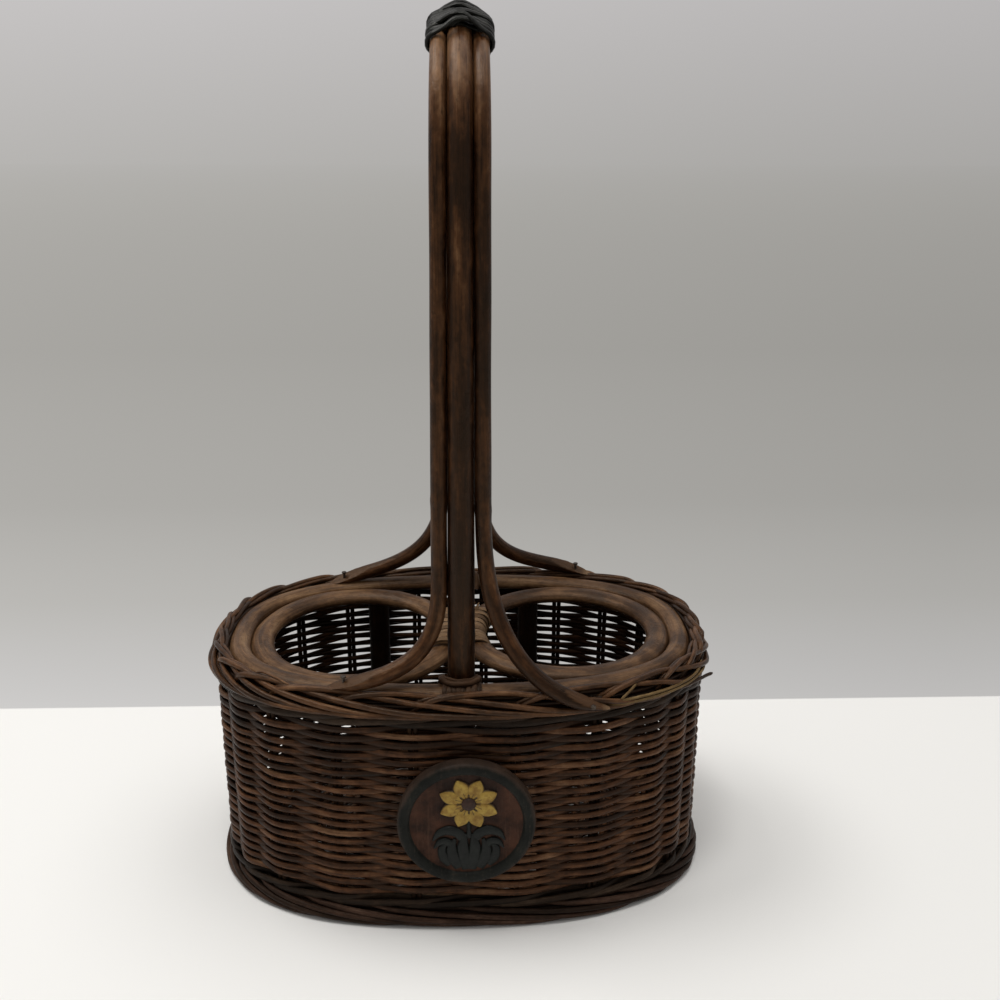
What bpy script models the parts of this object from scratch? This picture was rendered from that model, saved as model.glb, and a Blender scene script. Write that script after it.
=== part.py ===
"""Wicker basket for two wine bottles: an oval woven wall on stakes, a thick rattan rim hoop with two bottle
rings inside it, a tall three-rod handle from front to back, and a round flower medallion on the front.
Units are metres, +Z is up, the front faces -Y, and the origin is under the middle of the overall box."""

import math

import bmesh
import bpy
from mathutils import Matrix, Vector

# Fits
fit_gap = 0.0003
nail_seat_gap = 0.0005
cut_overrun = 0.002

# Bottle rings, which set how long and how deep the basket is
ring_radius = 0.0509
ring_half_width = 0.0061
ring_half_height = 0.0041
ring_gap = 0.0022
ring_side_clearance = 0.0080
ring_drop = 0.0010
left_ring_drop = 0.0025
left_ring_tilt = math.radians(1.7)
ring_segments = 32
ring_sides = 8

# Wall plan, on the middle surface of the weave
wall_half_thickness = 0.00385
oval_power = 2.5
oval_segments = 52

# Heights of the bands, from the foot up
foot_border_height = 0.0118
lower_band_height = 0.0062
weave_height = 0.0976
upper_band_height = 0.0059
top_border_height = 0.0090

# Foot border
foot_inner_reach = 0.0044
foot_outer_reach = 0.0070
foot_inner_edge = 0.0014
foot_outer_edge = 0.0032

# Top border
border_outer_reach = 0.0064
border_inner_edge = 0.0010
border_outer_edge = 0.0028

# Stakes, each a close pair of rods, placed round the oval by shares of a turn
stake_half_width = 0.0032
stake_half_thickness = 0.0013
stake_foot_cover = 0.0018
stake_top_cover = 0.0074
stake_turn_shares = (
    0.031, 0.067, 0.107, 0.142, 0.178, 0.233, 0.284, 0.334, 0.374, 0.411, 0.447, 0.483, 0.519,
    0.558, 0.594, 0.629, 0.674, 0.721, 0.783, 0.833, 0.876, 0.903, 0.933, 0.964, 0.994,
)

# Base
base_hoop_radius = 0.0040
base_hoop_sides = 6
base_mat_thickness = 0.0050
base_stick_radius = 0.0016
base_stick_pitch = 0.0300
base_stick_count = 3
base_stick_sides = 8

# Rim hoop
hoop_inset = 0.0099
hoop_half_width = 0.0052
hoop_half_height = 0.0041
hoop_rise = 0.0015
hoop_sides = 8

# Strap that ties the rings together
strap_thickness = 0.0012
strap_half_length = 0.0210
strap_shift = 0.0020
strap_sections = 8
strap_corner_steps = 3

# Inner posts under the hoop
post_radius = 0.0068
back_left_post_x = -0.0520
back_right_post_x = 0.0420
front_post_x = 0.0470
post_sides = 8

# Handle: centre pole and side rods
handle_height = 0.4486
handle_foot_shift = -0.0010
handle_lean_share = 0.0055
pole_foot_radius = 0.0063
pole_top_radius = 0.0056
pole_notch_depth = 0.0032
pole_sides = 10
side_rod_foot_radius = 0.0038
side_rod_top_radius = 0.0035
side_rod_tip_share = 0.45
side_rod_scarf_length = 0.0180
side_rod_sides = 8
arch_side_steps = 6
flare_steps = 12

# Flared ends: reach along X, offset from the wall's middle, tip height, slope along the rim, height where
# the rod leaves the pole, and the bend's sharpness
front_left_reach = 0.0660
front_left_offset = -0.0010
front_left_tip_height = 0.1353
front_left_droop = 0.0090
front_left_bend_height = 0.2050
front_left_bend_power = 4.2
front_right_reach = 0.0730
front_right_offset = 0.0080
front_right_tip_height = 0.1258
front_right_droop = 0.0150
front_right_bend_height = 0.2300
front_right_bend_power = 3.0
back_left_reach = 0.0785
back_left_offset = -0.0105
back_left_tip_height = 0.1340
back_left_droop = 0.0120
back_left_bend_height = 0.2050
back_left_bend_power = 3.1
back_right_reach = 0.0785
back_right_offset = -0.0010
back_right_tip_height = 0.1350
back_right_droop = 0.0110
back_right_bend_height = 0.2050
back_right_bend_power = 3.6

# Grip wrap at the top of the handle
grip_half_length = 0.0360
grip_turns = 16
grip_turn_steps = 12
grip_strand_breadth = 0.0031
grip_strand_thickness = 0.0016
grip_slack = 0.0010
grip_sections = 8

# Collars and lashings at the foot of the handle
collar_radius = 0.0022
collar_segments = 16
collar_sides = 6
lash_thickness = 0.0010
lash_half_length = 0.0098
lash_steps = 2

# Nails through the scarfed ends
nail_radius = 0.0007
nail_head_radius = 0.0014
nail_head_height = 0.0008
nail_bite = 0.0060
nail_sides = 8
nail_from_tip = 0.0090

# Medallion
medallion_radius = 0.0345
medallion_thickness = 0.0078
medallion_rim_width = 0.0062
medallion_recess = 0.0022
medallion_edge = 0.0012
medallion_x = 0.0024
medallion_height = 0.0668
medallion_segments = 36
flower_x = 0.0012
flower_rise = 0.0137
petal_count = 8
petal_tip_radius = 0.0144
petal_valley_radius = 0.0066
petal_shoulder_radius = 0.0112
petal_thickness = 0.0018
petal_shoulder_share = 0.5
button_radius = 0.0040
button_height = 0.0022
button_segments = 14
leaf_half_spread = 0.0190
leaf_top_rise = 0.0020
leaf_bottom_drop = 0.0262
leaf_thickness = 0.0014
leaf_half_shares = (
    (0.00, 1.00), (0.10, 0.62), (0.30, 0.86), (0.62, 1.00), (1.00, 0.60), (0.92, 0.44), (0.66, 0.78),
    (0.44, 0.58), (0.34, 0.30), (0.60, 0.46), (0.84, 0.20), (0.70, 0.10), (0.46, 0.22), (0.36, 0.00),
)

# Places worked out from the sizes above
ring_reach = ring_radius + ring_half_width * math.cos(math.pi / ring_sides)
ring_centre_x = ring_gap / 2 + ring_reach
hoop_width = hoop_inset + hoop_half_width * math.cos(math.pi / hoop_sides)
wall_half_length = ring_centre_x + ring_reach + fit_gap + hoop_width
wall_half_depth = ring_reach + ring_side_clearance + hoop_width
foot_top = foot_border_height
lower_band_bottom = foot_top + fit_gap
lower_band_top = lower_band_bottom + lower_band_height
weave_bottom = lower_band_top + fit_gap
weave_top = weave_bottom + weave_height
upper_band_bottom = weave_top + fit_gap
upper_band_top = upper_band_bottom + upper_band_height
border_bottom = upper_band_top + fit_gap
border_top = border_bottom + top_border_height
hoop_top = border_top + hoop_rise
hoop_z = hoop_top - hoop_half_height
hoop_outer_inset = hoop_inset - hoop_half_width
border_inner_reach = hoop_outer_inset - fit_gap
hoop_depth = wall_half_depth - hoop_inset
pole_y = hoop_depth - hoop_half_width - pole_foot_radius + pole_notch_depth
apex_z = handle_height - grip_strand_thickness - grip_slack - fit_gap - pole_top_radius
spring_z = apex_z - pole_y
base_hoop_inset = foot_inner_reach + fit_gap + base_hoop_radius
base_stick_z = fit_gap + base_stick_radius
base_hoop_z = base_stick_z + base_stick_radius + fit_gap + base_hoop_radius
base_mat_bottom = base_stick_z + base_stick_radius + fit_gap
base_mat_inset = base_hoop_inset + base_hoop_radius + fit_gap
inner_foot_z = base_hoop_z + base_hoop_radius + fit_gap
plaque_back_y = -(wall_half_depth + wall_half_thickness + fit_gap)
plaque_floor = medallion_thickness - medallion_recess
front_y = plaque_back_y - plaque_floor - fit_gap - petal_thickness - fit_gap - button_height
back_y = wall_half_depth + max(border_outer_reach, foot_outer_reach)


def clear_scene():
    for thing in list(bpy.data.objects):
        bpy.data.objects.remove(thing, do_unlink=True)


def make_material(name, colour, roughness, metallic=0.0):
    material = bpy.data.materials.new(name)
    material.use_nodes = True
    shader = material.node_tree.nodes["Principled BSDF"]
    shader.inputs["Base Color"].default_value = (*colour, 1.0)
    shader.inputs["Roughness"].default_value = roughness
    shader.inputs["Metallic"].default_value = metallic
    return material


def add_object(name, mesh_builder, material, smooth=True):
    """Turns a filled bmesh into a named object with outward normals."""
    bmesh.ops.recalc_face_normals(mesh_builder, faces=mesh_builder.faces)
    mesh = bpy.data.meshes.new(name)
    mesh_builder.to_mesh(mesh)
    mesh_builder.free()
    if smooth:
        mesh.shade_smooth()
        mesh.set_sharp_from_angle(angle=math.radians(40))
    thing = bpy.data.objects.new(name, mesh)
    bpy.context.scene.collection.objects.link(thing)
    if material:
        mesh.materials.append(material)
    return thing


def as_cutter(thing):
    thing.hide_render = True
    thing.display_type = "WIRE"
    return thing


def cut(thing, cutter):
    modifier = thing.modifiers.new("cut by " + cutter.name, "BOOLEAN")
    modifier.operation = "DIFFERENCE"
    modifier.solver = "EXACT"
    modifier.object = cutter


def oval_point(turn):
    """Point on the wall's middle line at this share of a turn from +X."""
    c = math.cos(math.tau * turn)
    s = math.sin(math.tau * turn)
    scale = (abs(c) ** oval_power + abs(s) ** oval_power) ** (-1 / oval_power)
    return Vector((wall_half_length * c * scale, wall_half_depth * s * scale, 0.0))


def oval_normal(turn):
    """Level outward direction of the wall at this share of a turn."""
    point = oval_point(turn)
    x = abs(point.x / wall_half_length) ** (oval_power - 1) / wall_half_length
    y = abs(point.y / wall_half_depth) ** (oval_power - 1) / wall_half_depth
    return Vector((math.copysign(x, point.x), math.copysign(y, point.y), 0.0)).normalized()


def oval_turn_at_x(x, front):
    """Share of a turn where the wall's middle line passes this X, at the front or the back."""
    across = min(abs(x) / wall_half_length, 1.0)
    y = (1 - across**oval_power) ** (1 / oval_power)
    turn = math.atan2(-y if front else y, math.copysign(across, x)) / math.tau
    return turn % 1.0


def skin_loops(builder, loops, closed):
    """Joins rings of vertices that have as many points each, into a tube."""
    count = len(loops)
    for i in range(count if closed else count - 1):
        here = loops[i]
        there = loops[(i + 1) % count]
        for j in range(len(here)):
            k = (j + 1) % len(here)
            builder.faces.new((here[j], here[k], there[k], there[j]))


def oval_ring(name, profile, material, smooth=True):
    """Sweeps a closed profile of (offset from the wall's middle, height) points round the oval."""
    builder = bmesh.new()
    loops = []
    for i in range(oval_segments):
        turn = i / oval_segments
        point = oval_point(turn)
        normal = oval_normal(turn)
        loops.append([builder.verts.new(point + normal * d + Vector((0, 0, z))) for d, z in profile])
    skin_loops(builder, loops, closed=True)
    return add_object(name, builder, material, smooth)


def box_profile(inner, outer, bottom, top):
    return ((-inner, bottom), (outer, bottom), (outer, top), (-inner, top))


def edged_profile(inner, outer, bottom, top, inner_edge, outer_edge):
    return (
        (-inner + inner_edge, bottom), (outer - outer_edge, bottom), (outer, bottom + outer_edge),
        (outer, top - outer_edge), (outer - outer_edge, top), (-inner + inner_edge, top),
        (-inner, top - inner_edge), (-inner, bottom + inner_edge),
    )


def ellipse_profile(across, up, half_width, half_height, sides):
    steps = [math.tau * (i + 0.5) / sides for i in range(sides)]
    return [(across + half_width * math.cos(a), up + half_height * math.sin(a)) for a in steps]


def turned_ring(name, radius, section, segments, material):
    """Sweeps a closed (radius change, height) section round the Z axis."""
    builder = bmesh.new()
    loops = []
    for i in range(segments):
        a = math.tau * i / segments
        loops.append([builder.verts.new(((radius + d) * math.cos(a), (radius + d) * math.sin(a), z))
                      for d, z in section])
    skin_loops(builder, loops, closed=True)
    return add_object(name, builder, material)


def turned_solid(name, outline, segments, material):
    """Turns an outline of (radius, height) points from the axis at the bottom to the axis at the top."""
    builder = bmesh.new()
    loops = []
    for radius, z in outline[1:-1]:
        loops.append([builder.verts.new((radius * math.cos(math.tau * i / segments),
                                         radius * math.sin(math.tau * i / segments), z))
                      for i in range(segments)])
    skin_loops(builder, loops, closed=False)
    for loop, (radius, z) in ((loops[0], outline[0]), (loops[-1], outline[-1])):
        tip = builder.verts.new((radius, 0.0, z))
        for i in range(segments):
            builder.faces.new((loop[i], loop[(i + 1) % segments], tip))
    return add_object(name, builder, material)


def tube(name, path, sides, material):
    """Round tube along a path of (point, radius) pairs, with frames carried along it and flat ends."""
    builder = bmesh.new()
    points = [Vector(point) for point, radius in path]
    across = (points[1] - points[0]).orthogonal()
    loops = []
    for i, (point, radius) in enumerate(path):
        ahead = points[min(i + 1, len(points) - 1)] - points[max(i - 1, 0)]
        ahead.normalize()
        across = (across - ahead * across.dot(ahead)).normalized()
        up = ahead.cross(across)
        angles = [math.tau * (j + 0.5) / sides for j in range(sides)]
        loops.append([builder.verts.new(Vector(point) + across * radius * math.cos(a) + up * radius * math.sin(a))
                      for a in angles])
    skin_loops(builder, loops, closed=False)
    builder.faces.new(loops[0])
    builder.faces.new(loops[-1])
    return add_object(name, builder, material)


def prism(name, outline, bottom, top, material):
    """Upright prism on a list of (x, y) corners."""
    builder = bmesh.new()
    low = [builder.verts.new((x, y, bottom)) for x, y in outline]
    high = [builder.verts.new((x, y, top)) for x, y in outline]
    skin_loops(builder, [low, high], closed=False)
    builder.faces.new(low)
    builder.faces.new(high)
    return add_object(name, builder, material, smooth=False)


def pipe(name, sections, material):
    """Open-ended sleeve through a list of (outer loop, inner loop) point lists."""
    builder = bmesh.new()
    outer = [[builder.verts.new(p) for p in section[0]] for section in sections]
    inner = [[builder.verts.new(p) for p in section[1]] for section in sections]
    skin_loops(builder, outer, closed=False)
    skin_loops(builder, inner, closed=False)
    for end in (0, -1):
        skin_loops(builder, [outer[end], inner[end]], closed=False)
    return add_object(name, builder, material)


def stadium(half_width, half_height, corner_steps):
    """Flat-sided oval loop as (across, up) points, with half-round ends."""
    points = []
    for side in (1, -1):
        for i in range(corner_steps + 1):
            a = math.pi * (i / corner_steps - 0.5)
            points.append((side * (half_width - half_height + half_height * math.cos(a)),
                           side * half_height * math.sin(a)))
    return points


def stake_outline(turn, gap):
    """Flat section of a stake at its place on the wall."""
    point = oval_point(turn)
    normal = oval_normal(turn)
    along = Vector((-normal.y, normal.x, 0.0))
    wide = stake_half_width + gap
    thick = stake_half_thickness + gap
    corners = ((wide, thick), (-wide, thick), (-wide, -thick), (wide, -thick))
    return [tuple((point + along * a + normal * n).xy) for a, n in corners]


def build_stakes(material):
    for i, turn in enumerate(stake_turn_shares):
        prism(f"stake_{i + 1:02d}", stake_outline(turn, 0.0), stake_foot_cover, border_top - stake_top_cover, material)


def stake_cutter():
    """All the stakes' tunnels in one mesh."""
    builder = bmesh.new()
    bottom = stake_foot_cover - fit_gap
    top = border_top - stake_top_cover + fit_gap
    for turn in stake_turn_shares:
        low = [builder.verts.new((x, y, bottom)) for x, y in stake_outline(turn, fit_gap)]
        high = [builder.verts.new((x, y, top)) for x, y in stake_outline(turn, fit_gap)]
        skin_loops(builder, [low, high], closed=False)
        builder.faces.new(low)
        builder.faces.new(high)
    return as_cutter(add_object("stake_tunnels", builder, None, smooth=False))


def build_wall(materials):
    """The five stacked rings that the stakes pass through, from the foot up."""
    wall = wall_half_thickness
    foot = edged_profile(foot_inner_reach, foot_outer_reach, 0.0, foot_top, foot_inner_edge, foot_outer_edge)
    border = edged_profile(border_inner_reach, border_outer_reach, border_bottom, border_top, border_inner_edge,
                           border_outer_edge)
    rings = [
        oval_ring("foot_border", foot, materials["wicker"]),
        oval_ring("lower_dyed_band", box_profile(wall, wall, lower_band_bottom, lower_band_top), materials["dyed"]),
        oval_ring("wall_weave", box_profile(wall, wall, weave_bottom, weave_top), materials["wicker"]),
        oval_ring("upper_dyed_band", box_profile(wall, wall, upper_band_bottom, upper_band_top), materials["dyed"]),
        oval_ring("top_border", border, materials["wicker"]),
    ]
    tunnels = stake_cutter()
    for ring in rings:
        cut(ring, tunnels)
    return rings


def build_base(materials):
    """Hoop, woven mat and sticks inside the foot border."""
    profile = ellipse_profile(-base_hoop_inset, base_hoop_z, base_hoop_radius, base_hoop_radius, base_hoop_sides)
    oval_ring("base_hoop", profile, materials["rattan"])
    outline = []
    for i in range(oval_segments):
        turn = i / oval_segments
        outline.append(tuple((oval_point(turn) - oval_normal(turn) * base_mat_inset).xy))
    prism("base_mat", outline, base_mat_bottom, base_mat_bottom + base_mat_thickness, materials["wicker"])
    for i in range(base_stick_count):
        y = (i - (base_stick_count - 1) / 2) * base_stick_pitch
        across = 1 - (abs(y) + base_stick_radius + foot_inner_reach) / wall_half_depth
        share = (1 - (1 - across) ** oval_power) ** (1 / oval_power)
        end = share * wall_half_length - foot_inner_reach - base_stick_radius
        path = [((-end, y, base_stick_z), base_stick_radius), ((end, y, base_stick_z), base_stick_radius)]
        rod = tube(f"base_stick_{i + 1}", path, base_stick_sides, materials["rattan"])
        rod.data.shade_flat()


def hoop_profile(gap):
    return ellipse_profile(-hoop_inset, hoop_z, hoop_half_width + gap, hoop_half_height + gap, hoop_sides)


def build_hoop(material):
    """Rim hoop, with a slightly fatter copy that fits other pieces to it."""
    hoop = oval_ring("rim_hoop", hoop_profile(0.0), material)
    seat = as_cutter(oval_ring("hoop_seat", hoop_profile(fit_gap), None))
    return hoop, seat


def place_ring(ring, side):
    """Sets a bottle ring beside the middle; the left one sags a little at the front."""
    drop = left_ring_drop if side < 0 else ring_drop
    ring.location = (side * ring_centre_x, 0.0, hoop_z - drop)
    ring.rotation_euler.x = left_ring_tilt if side < 0 else 0.0


def build_rings(material):
    seats = []
    for side, name in ((-1, "bottle_ring_left"), (1, "bottle_ring_right")):
        section = ellipse_profile(0.0, 0.0, ring_half_width, ring_half_height, ring_sides)
        place_ring(turned_ring(name, ring_radius, section, ring_segments, material), side)
        section = ellipse_profile(0.0, 0.0, ring_half_width + fit_gap, ring_half_height + fit_gap, ring_sides)
        seat = as_cutter(turned_ring(name + "_seat", ring_radius, section, ring_segments, None))
        place_ring(seat, side)
        seats.append(seat)
    return seats


def build_strap(seats, material):
    """Strap wound round both rings where they come together; its waist follows their curves."""
    builder = bmesh.new()
    loops = []
    low_ring = (ring_drop + left_ring_drop) / 2
    half_height = ring_half_height + strap_thickness + (left_ring_drop - ring_drop)
    for i in range(strap_sections + 1):
        y = (2 * i / strap_sections - 1) * strap_half_length + strap_shift
        sag = ring_radius - math.sqrt(ring_radius**2 - y**2)
        half_width = ring_centre_x - ring_radius + sag + ring_half_width + strap_thickness
        shape = stadium(half_width, half_height, strap_corner_steps)
        loops.append([builder.verts.new((x, y, hoop_z - low_ring + z)) for x, z in shape])
    skin_loops(builder, loops, closed=False)
    builder.faces.new(loops[0])
    builder.faces.new(loops[-1])
    strap = add_object("ring_binding", builder, material)
    for seat in seats:
        cut(strap, seat)


def build_posts(material):
    """Upright rods inside the wall that carry the hoop on the base hoop."""
    places = (
        ("post_back_left", back_left_post_x, False), ("post_back_right", back_right_post_x, False),
        ("post_front_left", -front_post_x, True), ("post_front_right", front_post_x, True),
    )
    inset = max(wall_half_thickness, border_inner_reach) + fit_gap + post_radius
    posts = []
    for name, x, front in places:
        turn = oval_turn_at_x(x, front)
        foot = oval_point(turn) - oval_normal(turn) * inset
        head_z = hoop_z - hoop_half_height - fit_gap
        path = [((foot.x, foot.y, inner_foot_z), post_radius), ((foot.x, foot.y, head_z), post_radius)]
        posts.append(tube(name, path, post_sides, material))
    return posts


def handle_x(z):
    """The handle leans a little to the right as it rises."""
    return handle_foot_shift + handle_lean_share * z


def rod_radius(foot_radius, top_radius, z):
    """Rattan thins towards the top of the arch."""
    return foot_radius + (top_radius - foot_radius) * min(z / apex_z, 1.0)


def grip_shares():
    """Shares of the arch's half circle, front to back, that the grip's sections stand at."""
    half = grip_half_length / (pole_y * math.pi)
    return [0.5 + half * (2 * i / grip_sections - 1) for i in range(grip_sections + 1)]


def arch_shares():
    """Shares of the half circle that every rod of the arch bends at."""
    grip = grip_shares()
    front = [grip[0] * i / arch_side_steps for i in range(arch_side_steps)]
    return front + grip + [1 - share for share in front[::-1]]


def arch_point(share, lateral_of):
    """Point of the arch at this share of its half circle, with a sideways offset by height."""
    a = math.pi * share
    z = spring_z + pole_y * math.sin(a)
    return Vector((handle_x(z) + lateral_of(z), -pole_y * math.cos(a), z))


def pole_path(gap):
    """Centre pole from its front foot over the arch to its back foot."""
    def radius_at(z):
        return rod_radius(pole_foot_radius, pole_top_radius, z) + gap

    feet = [Vector((handle_x(inner_foot_z), side * pole_y, inner_foot_z)) for side in (-1, 1)]
    points = [feet[0]]
    points += [arch_point(share, lambda z: 0.0) for share in arch_shares()]
    points.append(feet[1])
    return [(point, radius_at(point.z)) for point in points]


def side_lateral(side, z):
    """Sideways distance of a side rod from the pole's centre where it runs beside it."""
    pole = rod_radius(pole_foot_radius, pole_top_radius, z)
    rod = rod_radius(side_rod_foot_radius, side_rod_top_radius, z)
    return side * (pole + rod + fit_gap)


def flare_points(side, front, reach, offset, tip_height, droop, bend_height, power):
    """Flared end from its tip along the rim and up to where the rod leaves the pole."""
    start = Vector((handle_x(bend_height) + side_lateral(side, bend_height),
                    -pole_y if front else pole_y, bend_height))
    points = []
    for i in range(flare_steps):
        a = math.pi / 2 * i / flare_steps
        out = 1 - math.sin(a) ** (2 / power)
        up = 1 - math.cos(a) ** (2 / power)
        x = start.x + (side * reach - start.x) * out
        turn = oval_turn_at_x(x, front)
        rim = oval_point(turn) + oval_normal(turn) * offset
        y = start.y + (rim.y - start.y) * math.sin(math.pi / 2 * out)
        base = tip_height + droop * (1 - out)
        points.append(Vector((x, y, base + (bend_height - tip_height - droop) * up)))
    points.append(start)
    return points


def scarf_radius(points, index, full):
    """Radius near a rod's end, where it is cut to a taper."""
    run = sum((points[i] - points[i + 1]).length for i in range(index))
    share = min(run / side_rod_scarf_length, 1.0)
    return full * (side_rod_tip_share + (1 - side_rod_tip_share) * share)


def side_rod_path(side, gap):
    front = flare_points(side, True, *flare_sizes(side, True))
    back = flare_points(side, False, *flare_sizes(side, False))
    arch = [arch_point(share, lambda z: side_lateral(side, z)) for share in arch_shares()]

    def full_radius(point):
        return rod_radius(side_rod_foot_radius, side_rod_top_radius, point.z)

    path = [(point, scarf_radius(front, i, full_radius(point)) + gap) for i, point in enumerate(front)]
    path += [(point, full_radius(point) + gap) for point in arch]
    ends = [(point, scarf_radius(back, i, full_radius(point)) + gap) for i, point in enumerate(back)]
    return path + ends[::-1]


def flare_sizes(side, front):
    """Reach, offset, tip height, droop, bend height and sharpness of one flared end."""
    if front and side < 0:
        return (front_left_reach, front_left_offset, front_left_tip_height, front_left_droop,
                front_left_bend_height, front_left_bend_power)
    if front:
        return (front_right_reach, front_right_offset, front_right_tip_height, front_right_droop,
                front_right_bend_height, front_right_bend_power)
    if side < 0:
        return (back_left_reach, back_left_offset, back_left_tip_height, back_left_droop,
                back_left_bend_height, back_left_bend_power)
    return (back_right_reach, back_right_offset, back_right_tip_height, back_right_droop,
            back_right_bend_height, back_right_bend_power)


def build_handle(hoop_seat, holders, material):
    """Centre pole saddled over the rim hoop, and side rods let into the hoop and what else they run into."""
    pole = tube("handle_pole", pole_path(0.0), pole_sides, material)
    cut(pole, hoop_seat)
    rods = {}
    for side, name in ((-1, "left"), (1, "right")):
        rods[side] = tube(f"handle_side_rod_{name}", side_rod_path(side, 0.0), side_rod_sides, material)
        cut(rods[side], hoop_seat)
        groove = as_cutter(tube(f"side_rod_groove_{name}", side_rod_path(side, fit_gap), side_rod_sides, None))
        for holder in holders:
            cut(holder, groove)
    return rods


def build_grip(material):
    """One flat strand wound round the three rods at the apex."""
    half_thickness = grip_strand_thickness / 2
    wide = side_lateral(1, spring_z) + side_rod_foot_radius + fit_gap + grip_slack + half_thickness
    high = pole_top_radius + fit_gap + grip_slack + half_thickness
    room = grip_half_length - grip_strand_breadth / 2
    steps = grip_turns * grip_turn_steps
    builder = bmesh.new()
    loops = []
    centres = []
    for i in range(steps + 1):
        share = 0.5 + room / (pole_y * math.pi) * (2 * i / steps - 1)
        a = math.pi * share
        out = Vector((0.0, -math.cos(a), math.sin(a)))
        along = Vector((0.0, math.sin(a), math.cos(a))) * grip_strand_breadth / 2
        turn = math.tau * i / grip_turn_steps
        across = Vector((1.0, 0.0, 0.0))
        centre = arch_point(share, lambda z: 0.0) + across * wide * math.cos(turn) + out * high * math.sin(turn)
        face = (across * high * math.cos(turn) + out * wide * math.sin(turn)).normalized() * half_thickness
        loops.append([builder.verts.new(centre + s * along + t * face)
                      for s, t in ((1, 1), (-1, 1), (-1, -1), (1, -1))])
        centres.append(centre)
    skin_loops(builder, loops, closed=False)
    builder.faces.new(loops[0])
    builder.faces.new(loops[-1])
    add_object("grip_wrap", builder, material, smooth=False)
    pitch = min((a - b).length for a, b in zip(centres, centres[grip_turn_steps:]))
    print(f"grip_wrap: least gap between turns {pitch - grip_strand_breadth:.5f} m")


def build_collars(material):
    """Cane turned round the pole just above the hoop's lashing."""
    z = hoop_top + fit_gap + lash_thickness + fit_gap + collar_radius
    radius = rod_radius(pole_foot_radius, pole_top_radius, z) + fit_gap + collar_radius
    section = ellipse_profile(0.0, 0.0, collar_radius, collar_radius, collar_sides)
    for side, name in ((-1, "collar_front"), (1, "collar_back")):
        collar = turned_ring(name, radius, section, collar_segments, material)
        collar.location = (handle_x(z), side * pole_y, z)


def lash_sections(front, outer_grow, inner_grow, half_length):
    """Loops of a sleeve round the hoop on both sides of the pole."""
    sections = []
    for i in range(lash_steps + 1):
        x = handle_x(hoop_z) + (2 * i / lash_steps - 1) * half_length
        turn = oval_turn_at_x(x, front)
        loops = []
        for grow in (outer_grow, inner_grow):
            profile = ellipse_profile(-hoop_inset, hoop_z, hoop_half_width + grow, hoop_half_height + grow, hoop_sides)
            loops.append([oval_point(turn) + oval_normal(turn) * d + Vector((0, 0, z)) for d, z in profile])
        sections.append(loops)
    return sections


def build_lashings(border, material):
    """Cane wound round the hoop where the pole is let into it; the border is cut back for it."""
    pole_seat = as_cutter(tube("pole_seat", pole_path(fit_gap), pole_sides, None))
    for front, name in ((True, "lashing_front"), (False, "lashing_back")):
        outer = fit_gap + lash_thickness
        cut(pipe(name, lash_sections(front, outer, fit_gap, lash_half_length), material), pole_seat)
        room = lash_sections(front, outer + fit_gap, 0.0, lash_half_length + fit_gap)
        cut(border, as_cutter(pipe(name + "_room", room, None)))


def point_along(points, distance):
    """Point at this distance from the first one."""
    left = distance
    for a, b in zip(points, points[1:]):
        step = (b - a).length
        if left <= step:
            return a + (b - a) * (left / step)
        left -= step
    return points[-1]


def nail_outline(gap, length):
    """Half outline of a nail on its axis, head up, with its seat at zero."""
    shank = nail_radius + gap
    head = nail_head_radius + gap
    return ((0.0, -length - gap), (shank, -length - gap), (shank, -gap), (head, -gap),
            (head, nail_head_height + gap), (0.0, nail_head_height + gap))


def build_nails(rods, holders, material):
    """One nail through each scarfed end; the front right one lies against the border and is nailed from the
    front, and the others from above."""
    for side, side_name in ((-1, "left"), (1, "right")):
        for front, end_name in ((True, "front"), (False, "back")):
            points = flare_points(side, front, *flare_sizes(side, front))
            place = point_along(points, nail_from_tip)
            share = side_rod_tip_share + (1 - side_rod_tip_share) * nail_from_tip / side_rod_scarf_length
            radius = side_rod_foot_radius * share
            length = 2 * radius + nail_bite
            name = f"{end_name}_{side_name}"
            nail = turned_solid("nail_" + name, nail_outline(0.0, length), nail_sides, material)
            drill = as_cutter(turned_solid("nail_hole_" + name, nail_outline(fit_gap, length), nail_sides, None))
            seat = Vector((0.0, 0.0, radius + nail_seat_gap))
            for thing in (nail, drill):
                if front and side > 0:
                    thing.rotation_euler.x = math.pi / 2
                    thing.location = place + Vector((0.0, -seat.z, 0.0))
                else:
                    thing.location = place + seat
            for holder in (rods[side], *holders):
                cut(holder, drill)


def face_front(thing, x, y, z):
    """Stands a piece modelled facing +Z so that it faces the front."""
    thing.rotation_euler.x = math.pi / 2
    thing.location = (x, y, z)


def petal_outline():
    points = []
    for i in range(petal_count):
        for share, radius in ((0.0, petal_valley_radius), (petal_shoulder_share / 2, petal_shoulder_radius),
                              (0.5, petal_tip_radius), (1 - petal_shoulder_share / 2, petal_shoulder_radius)):
            a = math.tau * (i + share) / petal_count
            points.append((radius * math.cos(a), radius * math.sin(a)))
    return points


def leaf_outline():
    """Stalk and curling leaves, mirrored about the stalk."""
    height = leaf_top_rise + leaf_bottom_drop
    right = [(x * leaf_half_spread, z * height - leaf_bottom_drop) for x, z in leaf_half_shares]
    left = [(-x, z) for x, z in right[::-1] if x > 0]
    return right + left


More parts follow.
